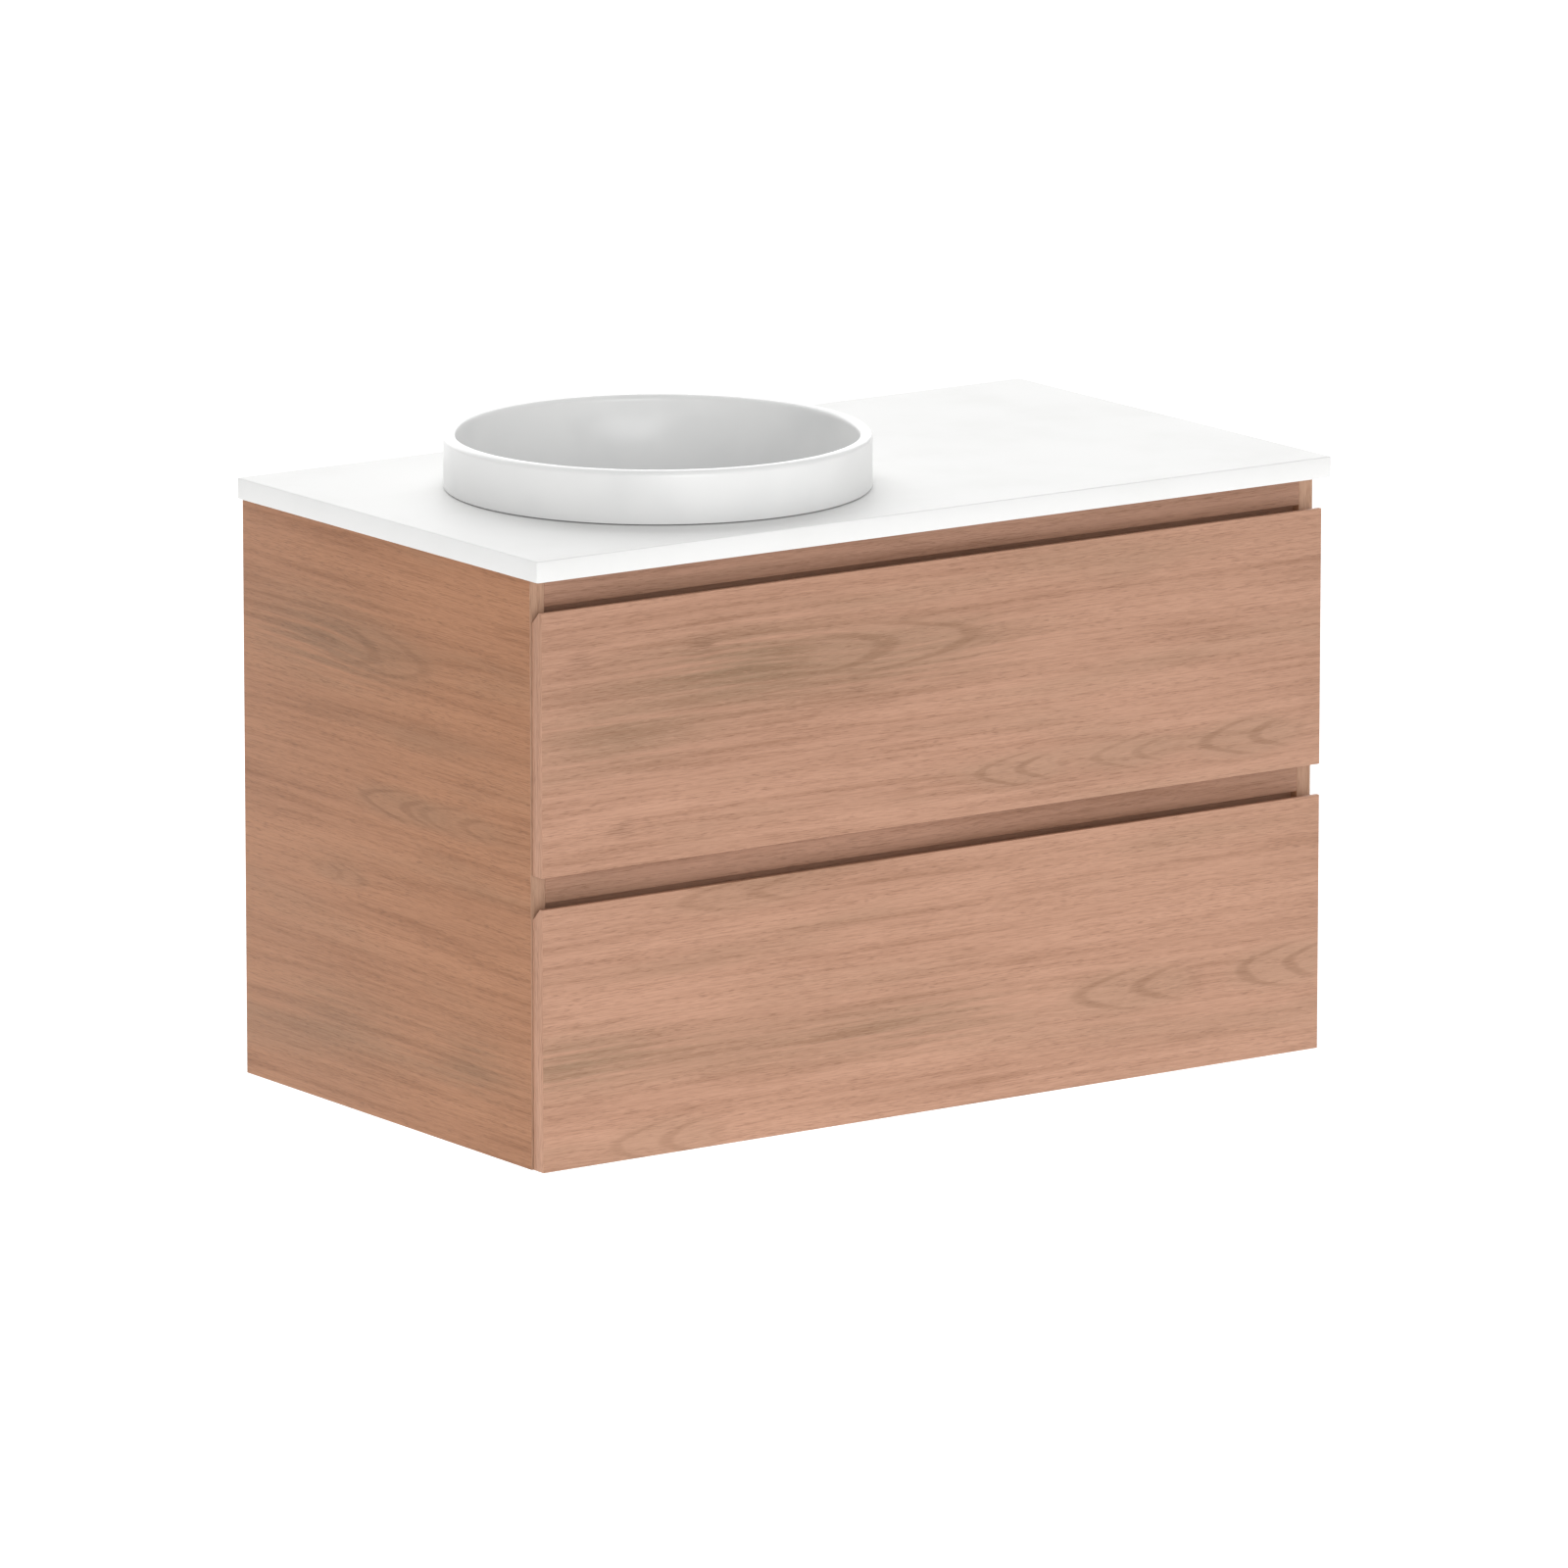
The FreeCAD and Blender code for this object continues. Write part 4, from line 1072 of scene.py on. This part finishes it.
@dataclass
class Worktop:
    """The thin white top, cut out for the basin."""

    cut_out: float = 185 * MM
    arris: float = 1.2 * MM
    corner: float = 2.0 * MM
    side_steps: int = 40

    def outline(self, low: Vector, high: Vector, inset: float) -> list[tuple[float, float]]:
        """Goes round the top with its corners rounded.

        Args:
            low: The top's lowest corner.
            high: The top's highest corner.
            inset: How far inside the edge the line runs.

        Returns:
            Points at even steps along the sides.
        """
        left, near, right, far = low.x + inset, low.y + inset, high.x - inset, high.y - inset
        square = [(left, near), (right, near), (right, far), (left, far)]
        arcs = rounded([(*point, self.corner) for point in square])
        points = []
        for here, there in zip(arcs, arcs[1:] + arcs[:1]):
            gap = Vector(there) - Vector(here)
            # Only the straight sides are longer than ten corner radii.
            steps = self.side_steps if gap.length > 10 * self.corner else 1
            points += [tuple(Vector(here) + gap * step / steps) for step in range(steps)]
        return points

    def build(self, centre: Vector) -> None:
        """Makes and dresses the top.

        Args:
            centre: The basin's centre, which the cut-out goes round.
        """
        low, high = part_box("worktop")
        mould = Mould()
        rings = []
        flat = 1.5 * self.arris
        for inset, level in rounded([(flat, low.z), (0.0, low.z, self.arris), (0.0, high.z, self.arris),
                                     (flat, high.z)], 3):
            rings.append(mould.ring(Vector((x, y, level)) for x, y in self.outline(low, high, inset)))
        angles = [math.atan2(v.co.y - centre.y, v.co.x - centre.x) for v in rings[0]]
        for level in (high.z, low.z):
            rings.append(mould.ring(
                Vector((centre.x + self.cut_out * math.cos(a), centre.y + self.cut_out * math.sin(a), level))
                for a in angles
            ))
        mould.skin(rings, closed=True)
        install(mould.mesh("worktop_slab"), "cabinet", ["worktop"], [CastStone().make()])


@dataclass
class Basin:
    """The round basin: a straight rim above the top and a bowl let in below it."""

    rim_radius: float = 199.5 * MM
    wall: float = 12 * MM
    rim_high: float = 51 * MM
    lip_share: float = 0.49
    neck: float = 182 * MM
    seal_inner: float = 186 * MM
    seal_outer: float = 194 * MM
    seal_gap: float = 1 * MM
    foot_ease: float = 0.8 * MM
    shoulder: float = 44 * MM
    bowl_turn: float = 14 * MM
    bowl_knee: tuple[float, float] = (150 * MM, -66 * MM)
    bowl_deep: float = 70 * MM
    foot_deep: float = 86 * MM
    flange_seat: float = 34 * MM
    flange_sunk: float = 4.5 * MM
    waste_bore: float = 21.5 * MM
    under_radius: float = 80 * MM
    under_drop: float = 28 * MM
    under_round: float = 20 * MM
    steps: int = 192

    def centre(self) -> Vector:
        """Gives the middle of the basin at the worktop's level."""
        low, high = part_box("basin")
        return Vector(((low.x + high.x) / 2, (low.y + high.y) / 2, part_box("worktop")[1].z))

    def profile(self) -> list[tuple[float, float]]:
        """Draws the basin's section, from the neck out, over the rim and down the bowl.

        Returns:
            Points as a radius and a height above the worktop.
        """
        inner = self.rim_radius - self.wall
        lip = self.wall * self.lip_share
        foot, groove = self.seal_gap, 2 * self.seal_gap
        shell = rounded([
            (self.neck, foot), (self.seal_inner, foot), (self.seal_inner, groove), (self.seal_outer, groove),
            (self.seal_outer, foot), (self.rim_radius, foot, self.foot_ease),
            (self.rim_radius, self.rim_high, lip), (inner, self.rim_high, lip), (inner, self.shoulder),
        ], 8)[:-1]
        bowl = curve([(inner, self.shoulder), (inner, -self.bowl_turn), self.bowl_knee,
                      (self.flange_seat, -self.bowl_deep)], 28)
        seat = self.bowl_deep + self.flange_sunk
        under = rounded([
            (self.flange_seat, -seat), (self.waste_bore, -seat), (self.waste_bore, -self.foot_deep),
            (self.under_radius, -self.foot_deep, self.under_round),
            (self.neck, -self.under_drop, self.under_round), (self.neck, 0.0),
        ])
        return shell + bowl + under[:-1]

    def build(self) -> None:
        """Makes and dresses the basin."""
        centre = self.centre()
        glaze = MattGlaze(floor=centre.z - self.bowl_deep).make()
        place = Matrix.Translation(centre)
        mesh = Turning().turned("basin_bowl", self.profile(), place, self.steps, 32, glaze)
        install(mesh, "cabinet", ["basin"], [glaze])


@dataclass
class WasteAndTrap:
    """The click waste under the bowl, the bottle trap and the pipe to the wall."""

    palette: Palette
    knurl: Knurl
    plug_crown: float = 2.2 * MM
    plug_deep: float = 5.5 * MM
    plug_edge: float = 1.2 * MM
    plug_ease: float = 0.6 * MM
    stem_radius: float = 5 * MM
    stem_ease: float = 1 * MM
    cup_wall: float = 3 * MM
    cup_slope: tuple[float, float] = (6 * MM, 5 * MM)
    cup_rounds: tuple[float, float, float] = (2 * MM, 3 * MM, 0.8 * MM)
    pipe_wall: float = 1.5 * MM
    pipe_ease: float = 0.4 * MM
    rosette_gap: float = 0.3 * MM
    rosette_foot: tuple[float, float] = (9 * MM, 0.5 * MM)
    rosette_edge: tuple[float, float] = (8 * MM, 1 * MM)
    nut_chamfer: float = 1.6 * MM
    waste_thread: float = 21 * MM
    pipe_thread: float = 16.3 * MM
    rib_girth: float = 1.1 * MM
    rib_count: int = 36

    def plug(self) -> None:
        """Makes the domed plug and its stem."""
        low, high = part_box("waste_plug")
        centre = (low + high) / 2
        radius = (high.x - low.x) / 2
        deep, stem = self.plug_deep, self.stem_radius
        foot = low.z - high.z + deep
        dome = curve([(0.0, deep), (radius * 0.6, deep),
                      (radius - self.plug_edge, deep - self.plug_crown * 0.4),
                      (radius, deep - self.plug_crown)], 12)
        profile = dome + [(radius, self.plug_ease), (radius - self.plug_ease, 0.0), (stem, 0.0),
                          (stem, foot + self.stem_ease), (stem - self.stem_ease, foot), (0.0, foot)]
        place = Matrix.Translation((centre.x, centre.y, high.z - deep))
        mesh = Mould().lathe(profile, place, closed=False).mesh("plug_cap", 35)
        install(mesh, "plug", ["waste_plug"], [self.palette.chrome])

    def nut(self, node: str, bore: float, lying: bool = False) -> None:
        """Makes a hexagonal nut with turned chamfers.

        Args:
            node: The nut's node.
            bore: Its bore's radius.
            lying: Whether its axis runs to the wall instead of up.
        """
        low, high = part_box(node)
        corner = (high.x - low.x) / 2
        length = high.y - low.y if lying else high.z - low.z
        cut = self.nut_chamfer
        flat = corner * math.cos(math.pi / 6) - cut * 0.4
        profile = [(bore, 0.0), (flat, 0.0), (-corner, cut), (-corner, length - cut), (flat, length),
                   (bore, length)]
        mesh = Mould().lathe(profile, axis(node, lying), flats=6).mesh(node + "_hex", 25)
        install(mesh, "cabinet", [node], [self.palette.white_plastic])

    def cup(self) -> None:
        """Makes the trap's cup with its grip ribs."""
        low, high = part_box("trap_cup")
        core = (high.x - low.x) / 2 - self.rib_girth
        inner = core - self.cup_wall
        tall = high.z - low.z
        inset, rise = self.cup_slope
        foot, belly, brim = self.cup_rounds
        profile = rounded([
            (0.0, 0.0), (core - inset, 0.0, foot), (core, rise, belly), (core, tall, brim),
            (inner, tall, brim), (inner, self.cup_wall, foot), (0.0, self.cup_wall),
        ])
        white = self.palette.white_plastic
        place = axis("trap_cup")
        mesh = Mould().lathe(profile, place, closed=False).mesh("trap_cup_shell")
        install(mesh, "cabinet", ["trap_cup"], [white])
        middle = place @ Matrix.Translation((0, 0, tall * 0.55))
        ribs = self.knurl.cut("trap_cup_ribs", middle, self.rib_count, core, self.rib_girth,
                              tall * 0.62, white)
        install(ribs, "cabinet", [], [white])

    def pipe(self) -> None:
        """Makes the outlet pipe and the rosette that covers its hole in the wall."""
        low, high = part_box("outlet_pipe")
        radius = (high.x - low.x) / 2
        inner, run = radius - self.pipe_wall, high.y - low.y
        place = axis("outlet_pipe", lying=True)
        ends = [(inner, 0.0), (radius, 0.0), (radius, run), (inner, run)]
        tube = rounded([(*point, self.pipe_ease) for point in ends], 2)
        mesh = Mould().lathe(tube, place, 72).mesh("outlet_tube")
        install(mesh, "cabinet", ["outlet_pipe"], [self.palette.chrome])
        near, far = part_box("wall_rosette")
        deep = far.y - near.y
        rim = (far.x - near.x) / 2
        hole = radius + self.rosette_gap
        (foot, rise), (edge, lip) = self.rosette_foot, self.rosette_edge
        face = curve([(hole, 0.0), (hole + foot, rise), (rim - edge, deep * 0.45), (rim, deep - lip)], 12)
        place = Matrix.Translation((place.translation.x, near.y, place.translation.z)) @ UP_TO_BACK
        mesh = Mould().lathe(face + [(rim, deep), (hole, deep)], place).mesh("rosette_dish")
        install(mesh, "cabinet", ["wall_rosette"], [self.palette.chrome])

    def build(self) -> None:
        """Makes and dresses every piece from the plug to the wall."""
        self.plug()
        self.nut("waste_nut", self.waste_thread)
        for node in ("union_nut", "trap_inlet_nut", "trap_outlet_nut"):
            self.nut(node, self.pipe_thread, lying=node == "trap_outlet_nut")
        self.cup()
        self.pipe()
        dress(["trap_body"], self.palette.white_plastic)
        dress(["waste_body", "tailpiece"], self.palette.chrome)
        dress(["basin_seal", "waste_seal", "waste_washer"], self.palette.rubber)


@dataclass
class Carcass:
    """The cabinet's boards: laminate where they show, linen board inside."""

    palette: Palette
    arris: float = 0.5 * MM
    cam_stand: float = 0.2 * MM
    brow: float = 2.0 * MM
    rebate: float = 9.0 * MM
    panel_shade: float = 0.84
    tape_shade: float = 0.86

    def panel(self, side: str, seed: float, arches: tuple[Figure, ...], clouds: tuple[Figure, ...]) -> None:
        """Makes one side panel.

        Args:
            side: Left or right.
            seed: Sets its grain apart from the other boards'.
            arches: The arches in its grain.
            clouds: Its greyer patches.
        """
        node = f"side_panel_{side}"
        low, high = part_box(node)
        face = Laminate(f"{node}_face", low, high, Grain.ALONG_Y, self.panel_shade, seed, arches, (), clouds,
                        light="C68F6B", dark="8F5D3D")
        edge = Laminate(f"{node}_edge", low, high, Grain.UPRIGHT, self.tape_shade, seed + 3,
                        light="C9A288", dark="A5795C")
        mesh = Mould().block(low, high).eased(self.arris).mesh(f"{node}_board")
        install(mesh, "cabinet", [node], [face.make(), edge.make()], flat_sides(1))

    def front_rail(self, level: str, front: str, shade: float, seed: float) -> None:
        """Makes the rail that shows as a shadow line above a drawer front, rebated behind its edge.

        Args:
            level: Upper or middle.
            front: The front whose top edge lies before it.
            shade: How light its laminate is; it is darker than the fronts' as painted shade for the recess.
            seed: Sets its grain apart from the other boards'.
        """
        node = f"front_rail_{level}"
        low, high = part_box(node)
        high.y -= self.cam_stand
        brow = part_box(front)[1].z + self.brow
        back = low.y + self.rebate
        section = [(back, low.z), (high.y, low.z), (high.y, high.z), (low.y, high.z),
                   (low.y, brow), (back, brow)]
        mould = Mould().prism(section, lambda y, z, x: Vector((x, y, z)), low.x, high.x)
        face = Laminate(f"{node}_face", low, high, Grain.ALONG_X, shade, seed)
        mesh = mould.eased(self.arris).mesh(f"{node}_board")
        install(mesh, "cabinet", [node], [face.make()])

    def build(self) -> None:
        """Makes and dresses every board of the cabinet."""
        self.panel("left", 2.0, arches=(
            Figure(0.50, 0.80, -0.08, 0.022, 0.7), Figure(0.45, 0.55, 0.07, 0.015),
            Figure(0.25, 0.55, 0.07, 0.014, 0.7), Figure(0.65, 0.40, -0.04, 0.010, 0.6),
        ), clouds=(
            Figure(0.70, 0.80, 0.12, 0.04, 0.7), Figure(0.20, 0.15, 0.06, 0.03, 0.5),
            Figure(0.65, 0.15, 0.12, 0.04, 0.4),
        ))
        self.panel("right", 5.0, arches=(
            Figure(0.35, 0.60, 0.06, 0.020), Figure(0.70, 0.25, -0.05, 0.015),
        ), clouds=(Figure(0.60, 0.80, 0.12, 0.05, 0.5),))
        # The rails' laminate is painted darker than the fronts', as painted shade for their recess behind the
        # fronts; the upper one, under the worktop, is darkest.
        self.front_rail("upper", "upper_front", 0.78, 11.0)
        self.front_rail("middle", "lower_front", 0.86, 13.0)
        dress(["bottom_panel", "rear_rail_upper", "rear_rail_lower"], self.palette.board)
        dress(["hanger_brackets"], self.palette.galvanised)


class Level(Enum):
    """Which of the two drawers."""

    UPPER = "upper"
    LOWER = "lower"


@dataclass
class Drawer:
    """One drawer: its bevelled front, its box, and the members, catches and levers under it."""

    level: Level
    palette: Palette
    shade: float
    seed: float
    arches: tuple[Figure, ...] = ()
    knots: tuple[Figure, ...] = ()
    clouds: tuple[Figure, ...] = ()
    bevel: float = 11.5 * MM
    arris: float = 0.35 * MM
    tape: float = 0.4 * MM
    tape_shade: float = 1.06

    def node(self, part: str) -> str:
        """Gives the name of one of the drawer's nodes."""
        return f"{self.level.value}_{part}"

    def front(self) -> None:
        """Makes the front, bevelled behind its top edge for the fingers."""
        low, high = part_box(self.node("front"))
        section = [(low.y, low.z), (high.y, low.z), (high.y, high.z - self.bevel),
                   (high.y - self.bevel, high.z), (low.y, high.z)]
        mould = Mould().prism(section, lambda y, z, x: Vector((x, y, z)), low.x, high.x)
        face = Laminate(self.node("front_face"), low, high, Grain.ALONG_X, self.shade, self.seed,
                        self.arches, self.knots, self.clouds)
        edge = Laminate(self.node("front_edge"), low, high, Grain.UPRIGHT, self.shade * self.tape_shade,
                        self.seed + 1)
        install(mould.eased(self.arris).mesh(self.node("front_board")), self.node("drawer"),
                [self.node("front")], [face.make(), edge.make()], flat_sides(0))

    def box_board(self, part: str) -> None:
        """Makes one upright board of the drawer's box."""
        mesh = Mould().block(*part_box(self.node(part))).eased(self.tape).mesh(self.node(part) + "_board")
        install(mesh, self.node("drawer"), [self.node(part)], [self.palette.board])

    def floor(self) -> None:
        """Makes the bottom, cut away round the trap where the box has a notch."""
        low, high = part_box(self.node("bottom"))
        outline = footprint(low, high)
        if self.level is Level.UPPER:
            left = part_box(self.node("notch_left"))[1].x
            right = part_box(self.node("notch_right"))[0].x
            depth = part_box(self.node("notch_front"))[1].y
            outline[3:3] = [(right, high.y), (right, depth), (left, depth), (left, high.y)]
        mould = Mould().prism(outline, lambda x, y, z: Vector((x, y, z)), low.z, high.z)
        mesh = mould.eased(self.tape).mesh(self.node("bottom_board"))
        install(mesh, self.node("drawer"), [self.node("bottom")], [self.palette.board])

    def build(self) -> None:
        """Makes and dresses the drawer."""
        self.front()
        self.floor()
        parts = ["side_left", "side_right", "inner_front"]
        if self.level is Level.UPPER:
            parts += ["back_left", "back_right", "notch_left", "notch_right", "notch_front"]
        else:
            parts += ["back"]
        for part in parts:
            self.box_board(part)
        steel = ["drawer_members", "middle_members", "runner_left", "runner_right"]
        dress([self.node(part) for part in steel], self.palette.galvanised)
        dress([self.node("catches")], self.palette.catch_plastic)
        dress([self.node(f"lever_{side}") for side in ("left", "right")], self.palette.lever_plastic)


@dataclass(frozen=True)
class Cross:
    """A cross recess: its reach from the middle, half the width of an arm, and its depth."""

    arm: float
    half: float
    deep: float


@dataclass
class Fasteners:
    """The pan-head screws and the cam locks, with their cross recesses."""

    palette: Palette
    scatter: Scatter
    head_radius: float = 4.5 * MM
    head_high: float = 2.2 * MM
    shank_radius: float = 2.2 * MM
    cam_radius: float = 7.5 * MM
    cam_deep: float = 5.0 * MM
    cam_ease: float = 0.3 * MM
    screw_cross: Cross = Cross(2.6 * MM, 0.55 * MM, 1.2 * MM)
    cam_cross: Cross = Cross(5.0 * MM, 0.9 * MM, 1.5 * MM)
    sides: int = 24

    def crossed(self, name: str, profile: Points, cross: Cross) -> Mesh:
        """Turns a fastener and sinks a cross in its flat head.

        Args:
            name: The mesh's name.
            profile: Its radii and heights, from its tip to the edge of its flat head.
            cross: The cross.

        Returns:
            The fastener's mesh.
        """
        mould = Mould()
        rings = mould.turn(profile, Matrix(), self.sides)
        mould.skin(rings)
        top = profile[-1][1]
        quarter = [(cross.arm, -cross.half), (cross.arm, cross.half), (cross.half, cross.half)]
        turns = [Matrix.Rotation(math.radians(90 * turn), 2) for turn in range(4)]
        outline = [turn @ Vector(point) for turn in turns for point in quarter]
        recess = [mould.ring(Vector((*p, height)) for p in outline) for height in (top, top - cross.deep)]
        mould.skin(recess)
        mould.bm.faces.new(recess[1])
        sides = [side for ring in (rings[-1], recess[0]) for side in zip(ring, ring[1:] + ring[:1])]
        loops = [mould.bm.edges.get(side) for side in sides]
        bmesh.ops.triangle_fill(mould.bm, use_beauty=True, edges=loops)
        return mould.mesh(name, 30)

    def screw(self, length: float) -> Mesh:
        """Makes one screw, head up, with the head's underside at its origin.

        Args:
            length: The shank's length.

        Returns:
            The screw's mesh.
        """
        high, radius, shank = self.head_high, self.head_radius, self.shank_radius
        profile = [(0.0, -length), (shank, 2 * shank - length), (shank, 0.0), (radius, 0.0),
                   (radius, 0.35 * high), (0.86 * radius, 0.75 * high), (0.68 * radius, high)]
        return self.crossed("screw", profile, self.screw_cross)

    def cam(self, length: float) -> Mesh:
        """Makes one cam lock with its face at its origin, no deeper than its board's rebate allows.

        Args:
            length: Its length in the engineering model.

        Returns:
            The cam lock's mesh.
        """
        radius, deep, ease = self.cam_radius, min(length, self.cam_deep), self.cam_ease
        profile = [(0.0, -deep), (radius, -deep), (radius, -ease), (radius - ease, 0.0)]
        return self.crossed("cam", profile, self.cam_cross)

    def group(self, node: str, body: str, slot: str, facing: Callable[[Vector], Vector],
              make: Callable[[float], Mesh], head: float) -> None:
        """Sets the fasteners of one node.

        Args:
            node: The node.
            body: The body that they hold to.
            slot: Their material slot; not used.
            facing: Gives the way a head faces from the fastener's middle.
            make: Makes one fastener from its length below the head.
            head: How far the head stands above the fastener's origin.
        """
        spots = []
        length = 0.0
        for low, high in solids(node):
            middle = (low + high) / 2
            way = facing(middle)
            reach = abs((high - low).dot(way)) / 2
            length = 2 * reach - head
            spots.append((middle + way * (reach - head), way))
        mesh = self.scatter.spread(f"{node}_set", make(length), spots, self.palette.zinc)
        install(mesh, body, [node], [self.palette.zinc])

    def build(self) -> None:
        """Sets every group of fasteners."""
        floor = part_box("bottom_panel")[1].z

        def inwards(middle: Vector) -> Vector:
            """Faces the cabinet's middle."""
            return Vector((-math.copysign(1.0, middle.x), 0.0, 0.0))

        def backwards(middle: Vector) -> Vector:
            """Faces the wall."""
            return Vector((0.0, 1.0, 0.0))

        def uncovered(middle: Vector) -> Vector:
            """Faces up out of the bottom panel, or into the cabinet out of a rail.

            Args:
                middle: The fastener's middle.

            Returns:
                The way that its head faces.
            """
            if middle.z < floor:
                return Vector((0.0, 0.0, 1.0))
            return Vector((0.0, -math.copysign(1.0, middle.y), 0.0))

        groups = {
            "runner_screws": ("cabinet", inwards),
            "bracket_screws": ("cabinet", inwards),
            "upper_front_screws": ("upper_drawer", backwards),
            "lower_front_screws": ("lower_drawer", backwards),
        }
        for node, (body, facing) in groups.items():
            self.group(node, body, "screw_steel", facing, self.screw, self.head_high)
        self.group("cam_locks", "cabinet", "zinc", uncovered, self.cam, 0.0)


@dataclass
class Lamp:
    """A very wide soft light from far away."""

    name: str
    azimuth: float
    elevation: float
    energy: float
    spread: float

    def build(self) -> None:
        """Hangs the light so that it shines on the vanity from its azimuth and elevation."""
        light = bpy.data.lights.new(self.name, "SUN")
        light.energy = self.energy
        light.angle = math.radians(self.spread)
        lamp = bpy.data.objects.new(self.name, light)
        lamp.rotation_euler = (math.radians(90 - self.elevation), 0.0, math.radians(self.azimuth))
        bpy.context.scene.collection.objects.link(lamp)


@dataclass
class Studio:
    """A white studio: pale floor, soft lights, and the camera that looks down on the left corner."""

    azimuth: float = -35.0
    elevation: float = 12.0
    distance: float = 13.34
    aim: tuple[float, float, float] = (-0.0055, -0.0039, 0.2681)
    lens: float = 326.1
    sensor: float = 36.0
    floor_level: float = -0.60
    floor_radius: float = 80.0
    floor_steps: int = 64
    floor_glow: float = 0.36
    far_sight: float = 400.0
    ambient: float = 0.53
    lamps: tuple[Lamp, ...] = (
        Lamp("window", 155.0, 30.0, 2.65, 74.0),
        Lamp("fill", -20.0, 7.0, 1.12, 36.0),
    )

    def floor(self) -> None:
        """Lays the floor."""
        mould = Mould()
        turns = [math.tau * step / self.floor_steps for step in range(self.floor_steps)]
        mould.bm.faces.new(mould.ring(
            Vector((self.floor_radius * math.cos(a), self.floor_radius * math.sin(a), self.floor_level))
            for a in turns
        ))
        mesh = mould.mesh("studio_floor")
        finish = Finish("studio_floor")
        cloud = finish.noise(finish.vector(*finish.place()), 2.0)
        tone = finish.mix(cloud * 0.1, paint("F4F4F4"), paint("EFEFEF"))
        mesh.materials.append(finish.close(cloud, 0.0001, Base_Color=tone, Roughness=0.9,
                                           Emission_Color=WHITE,
                                           Emission_Strength=self.floor_glow))
        floor = bpy.data.objects.new("studio_floor", mesh)
        bpy.context.scene.collection.objects.link(floor)

    def sky(self) -> None:
        """Sets the even light from all round."""
        world = bpy.data.worlds.new("studio")
        world.use_nodes = True
        backdrop = world.node_tree.nodes["Background"]
        backdrop.inputs["Color"].default_value = WHITE
        backdrop.inputs["Strength"].default_value = self.ambient
        bpy.context.scene.world = world

    def camera(self) -> None:
        """Sets the camera."""
        data = bpy.data.cameras.new("camera")
        data.lens = self.lens
        data.sensor_width = self.sensor
        data.clip_end = self.far_sight
        camera = bpy.data.objects.new("camera", data)
        turn = Matrix.Rotation(math.radians(self.azimuth), 4, "Z") @ Matrix.Rotation(
            math.radians(90 - self.elevation), 4, "X")
        camera.matrix_world = Matrix.Translation(self.aim) @ turn @ Matrix.Translation((0, 0, self.distance))
        bpy.context.scene.collection.objects.link(camera)
        bpy.context.scene.camera = camera

    def build(self) -> None:
        """Builds the whole studio."""
        self.floor()
        self.sky()
        for lamp in self.lamps:
            lamp.build()
        self.camera()
        bpy.context.scene.view_settings.view_transform = "Standard"


def main() -> None:
    """Builds the vanity from the camera and the basin to its last screw."""
    logging.basicConfig(level=logging.INFO, format="%(name)s: %(message)s")
    Studio().build()
    palette = Palette()
    basin = Basin()
    basin.build()
    Worktop().build(basin.centre())
    WasteAndTrap(palette, Knurl()).build()
    Carcass(palette).build()
    Drawer(
        Level.UPPER, palette, shade=0.98, seed=21.0,
        arches=(Figure(0.45, 0.70, 0.10, 0.022), Figure(0.60, 0.15, -0.05, 0.015),
                Figure(0.75, 0.15, -0.05, 0.015, 0.7), Figure(0.90, 0.15, -0.06, 0.018)),
        knots=(Figure(0.05, 0.80, 0.014, 0.009), Figure(0.20, 0.80, 0.014, 0.009),
               Figure(0.40, 0.55, 0.008, 0.004), Figure(0.10, 0.15, 0.014, 0.008)),
        clouds=(Figure(0.25, 0.70, 0.12, 0.035, 0.9), Figure(0.45, 0.65, 0.14, 0.030, 0.6),
                Figure(0.10, 0.50, 0.10, 0.030, 0.6)),
    ).build()
    Drawer(
        Level.LOWER, palette, shade=1.04, seed=34.0,
        arches=(Figure(0.75, 0.35, -0.07, 0.020), Figure(0.95, 0.35, -0.06, 0.020),
                Figure(0.25, 0.95, -0.08, 0.015, 0.7), Figure(0.15, 0.05, -0.06, 0.020, 0.8)),
        clouds=(Figure(0.05, 0.40, 0.10, 0.025, 0.8), Figure(0.45, 0.35, 0.16, 0.025, 0.6)),
    ).build()
    Fasteners(palette, Scatter()).build()


if __name__ == "__main__":
    main()
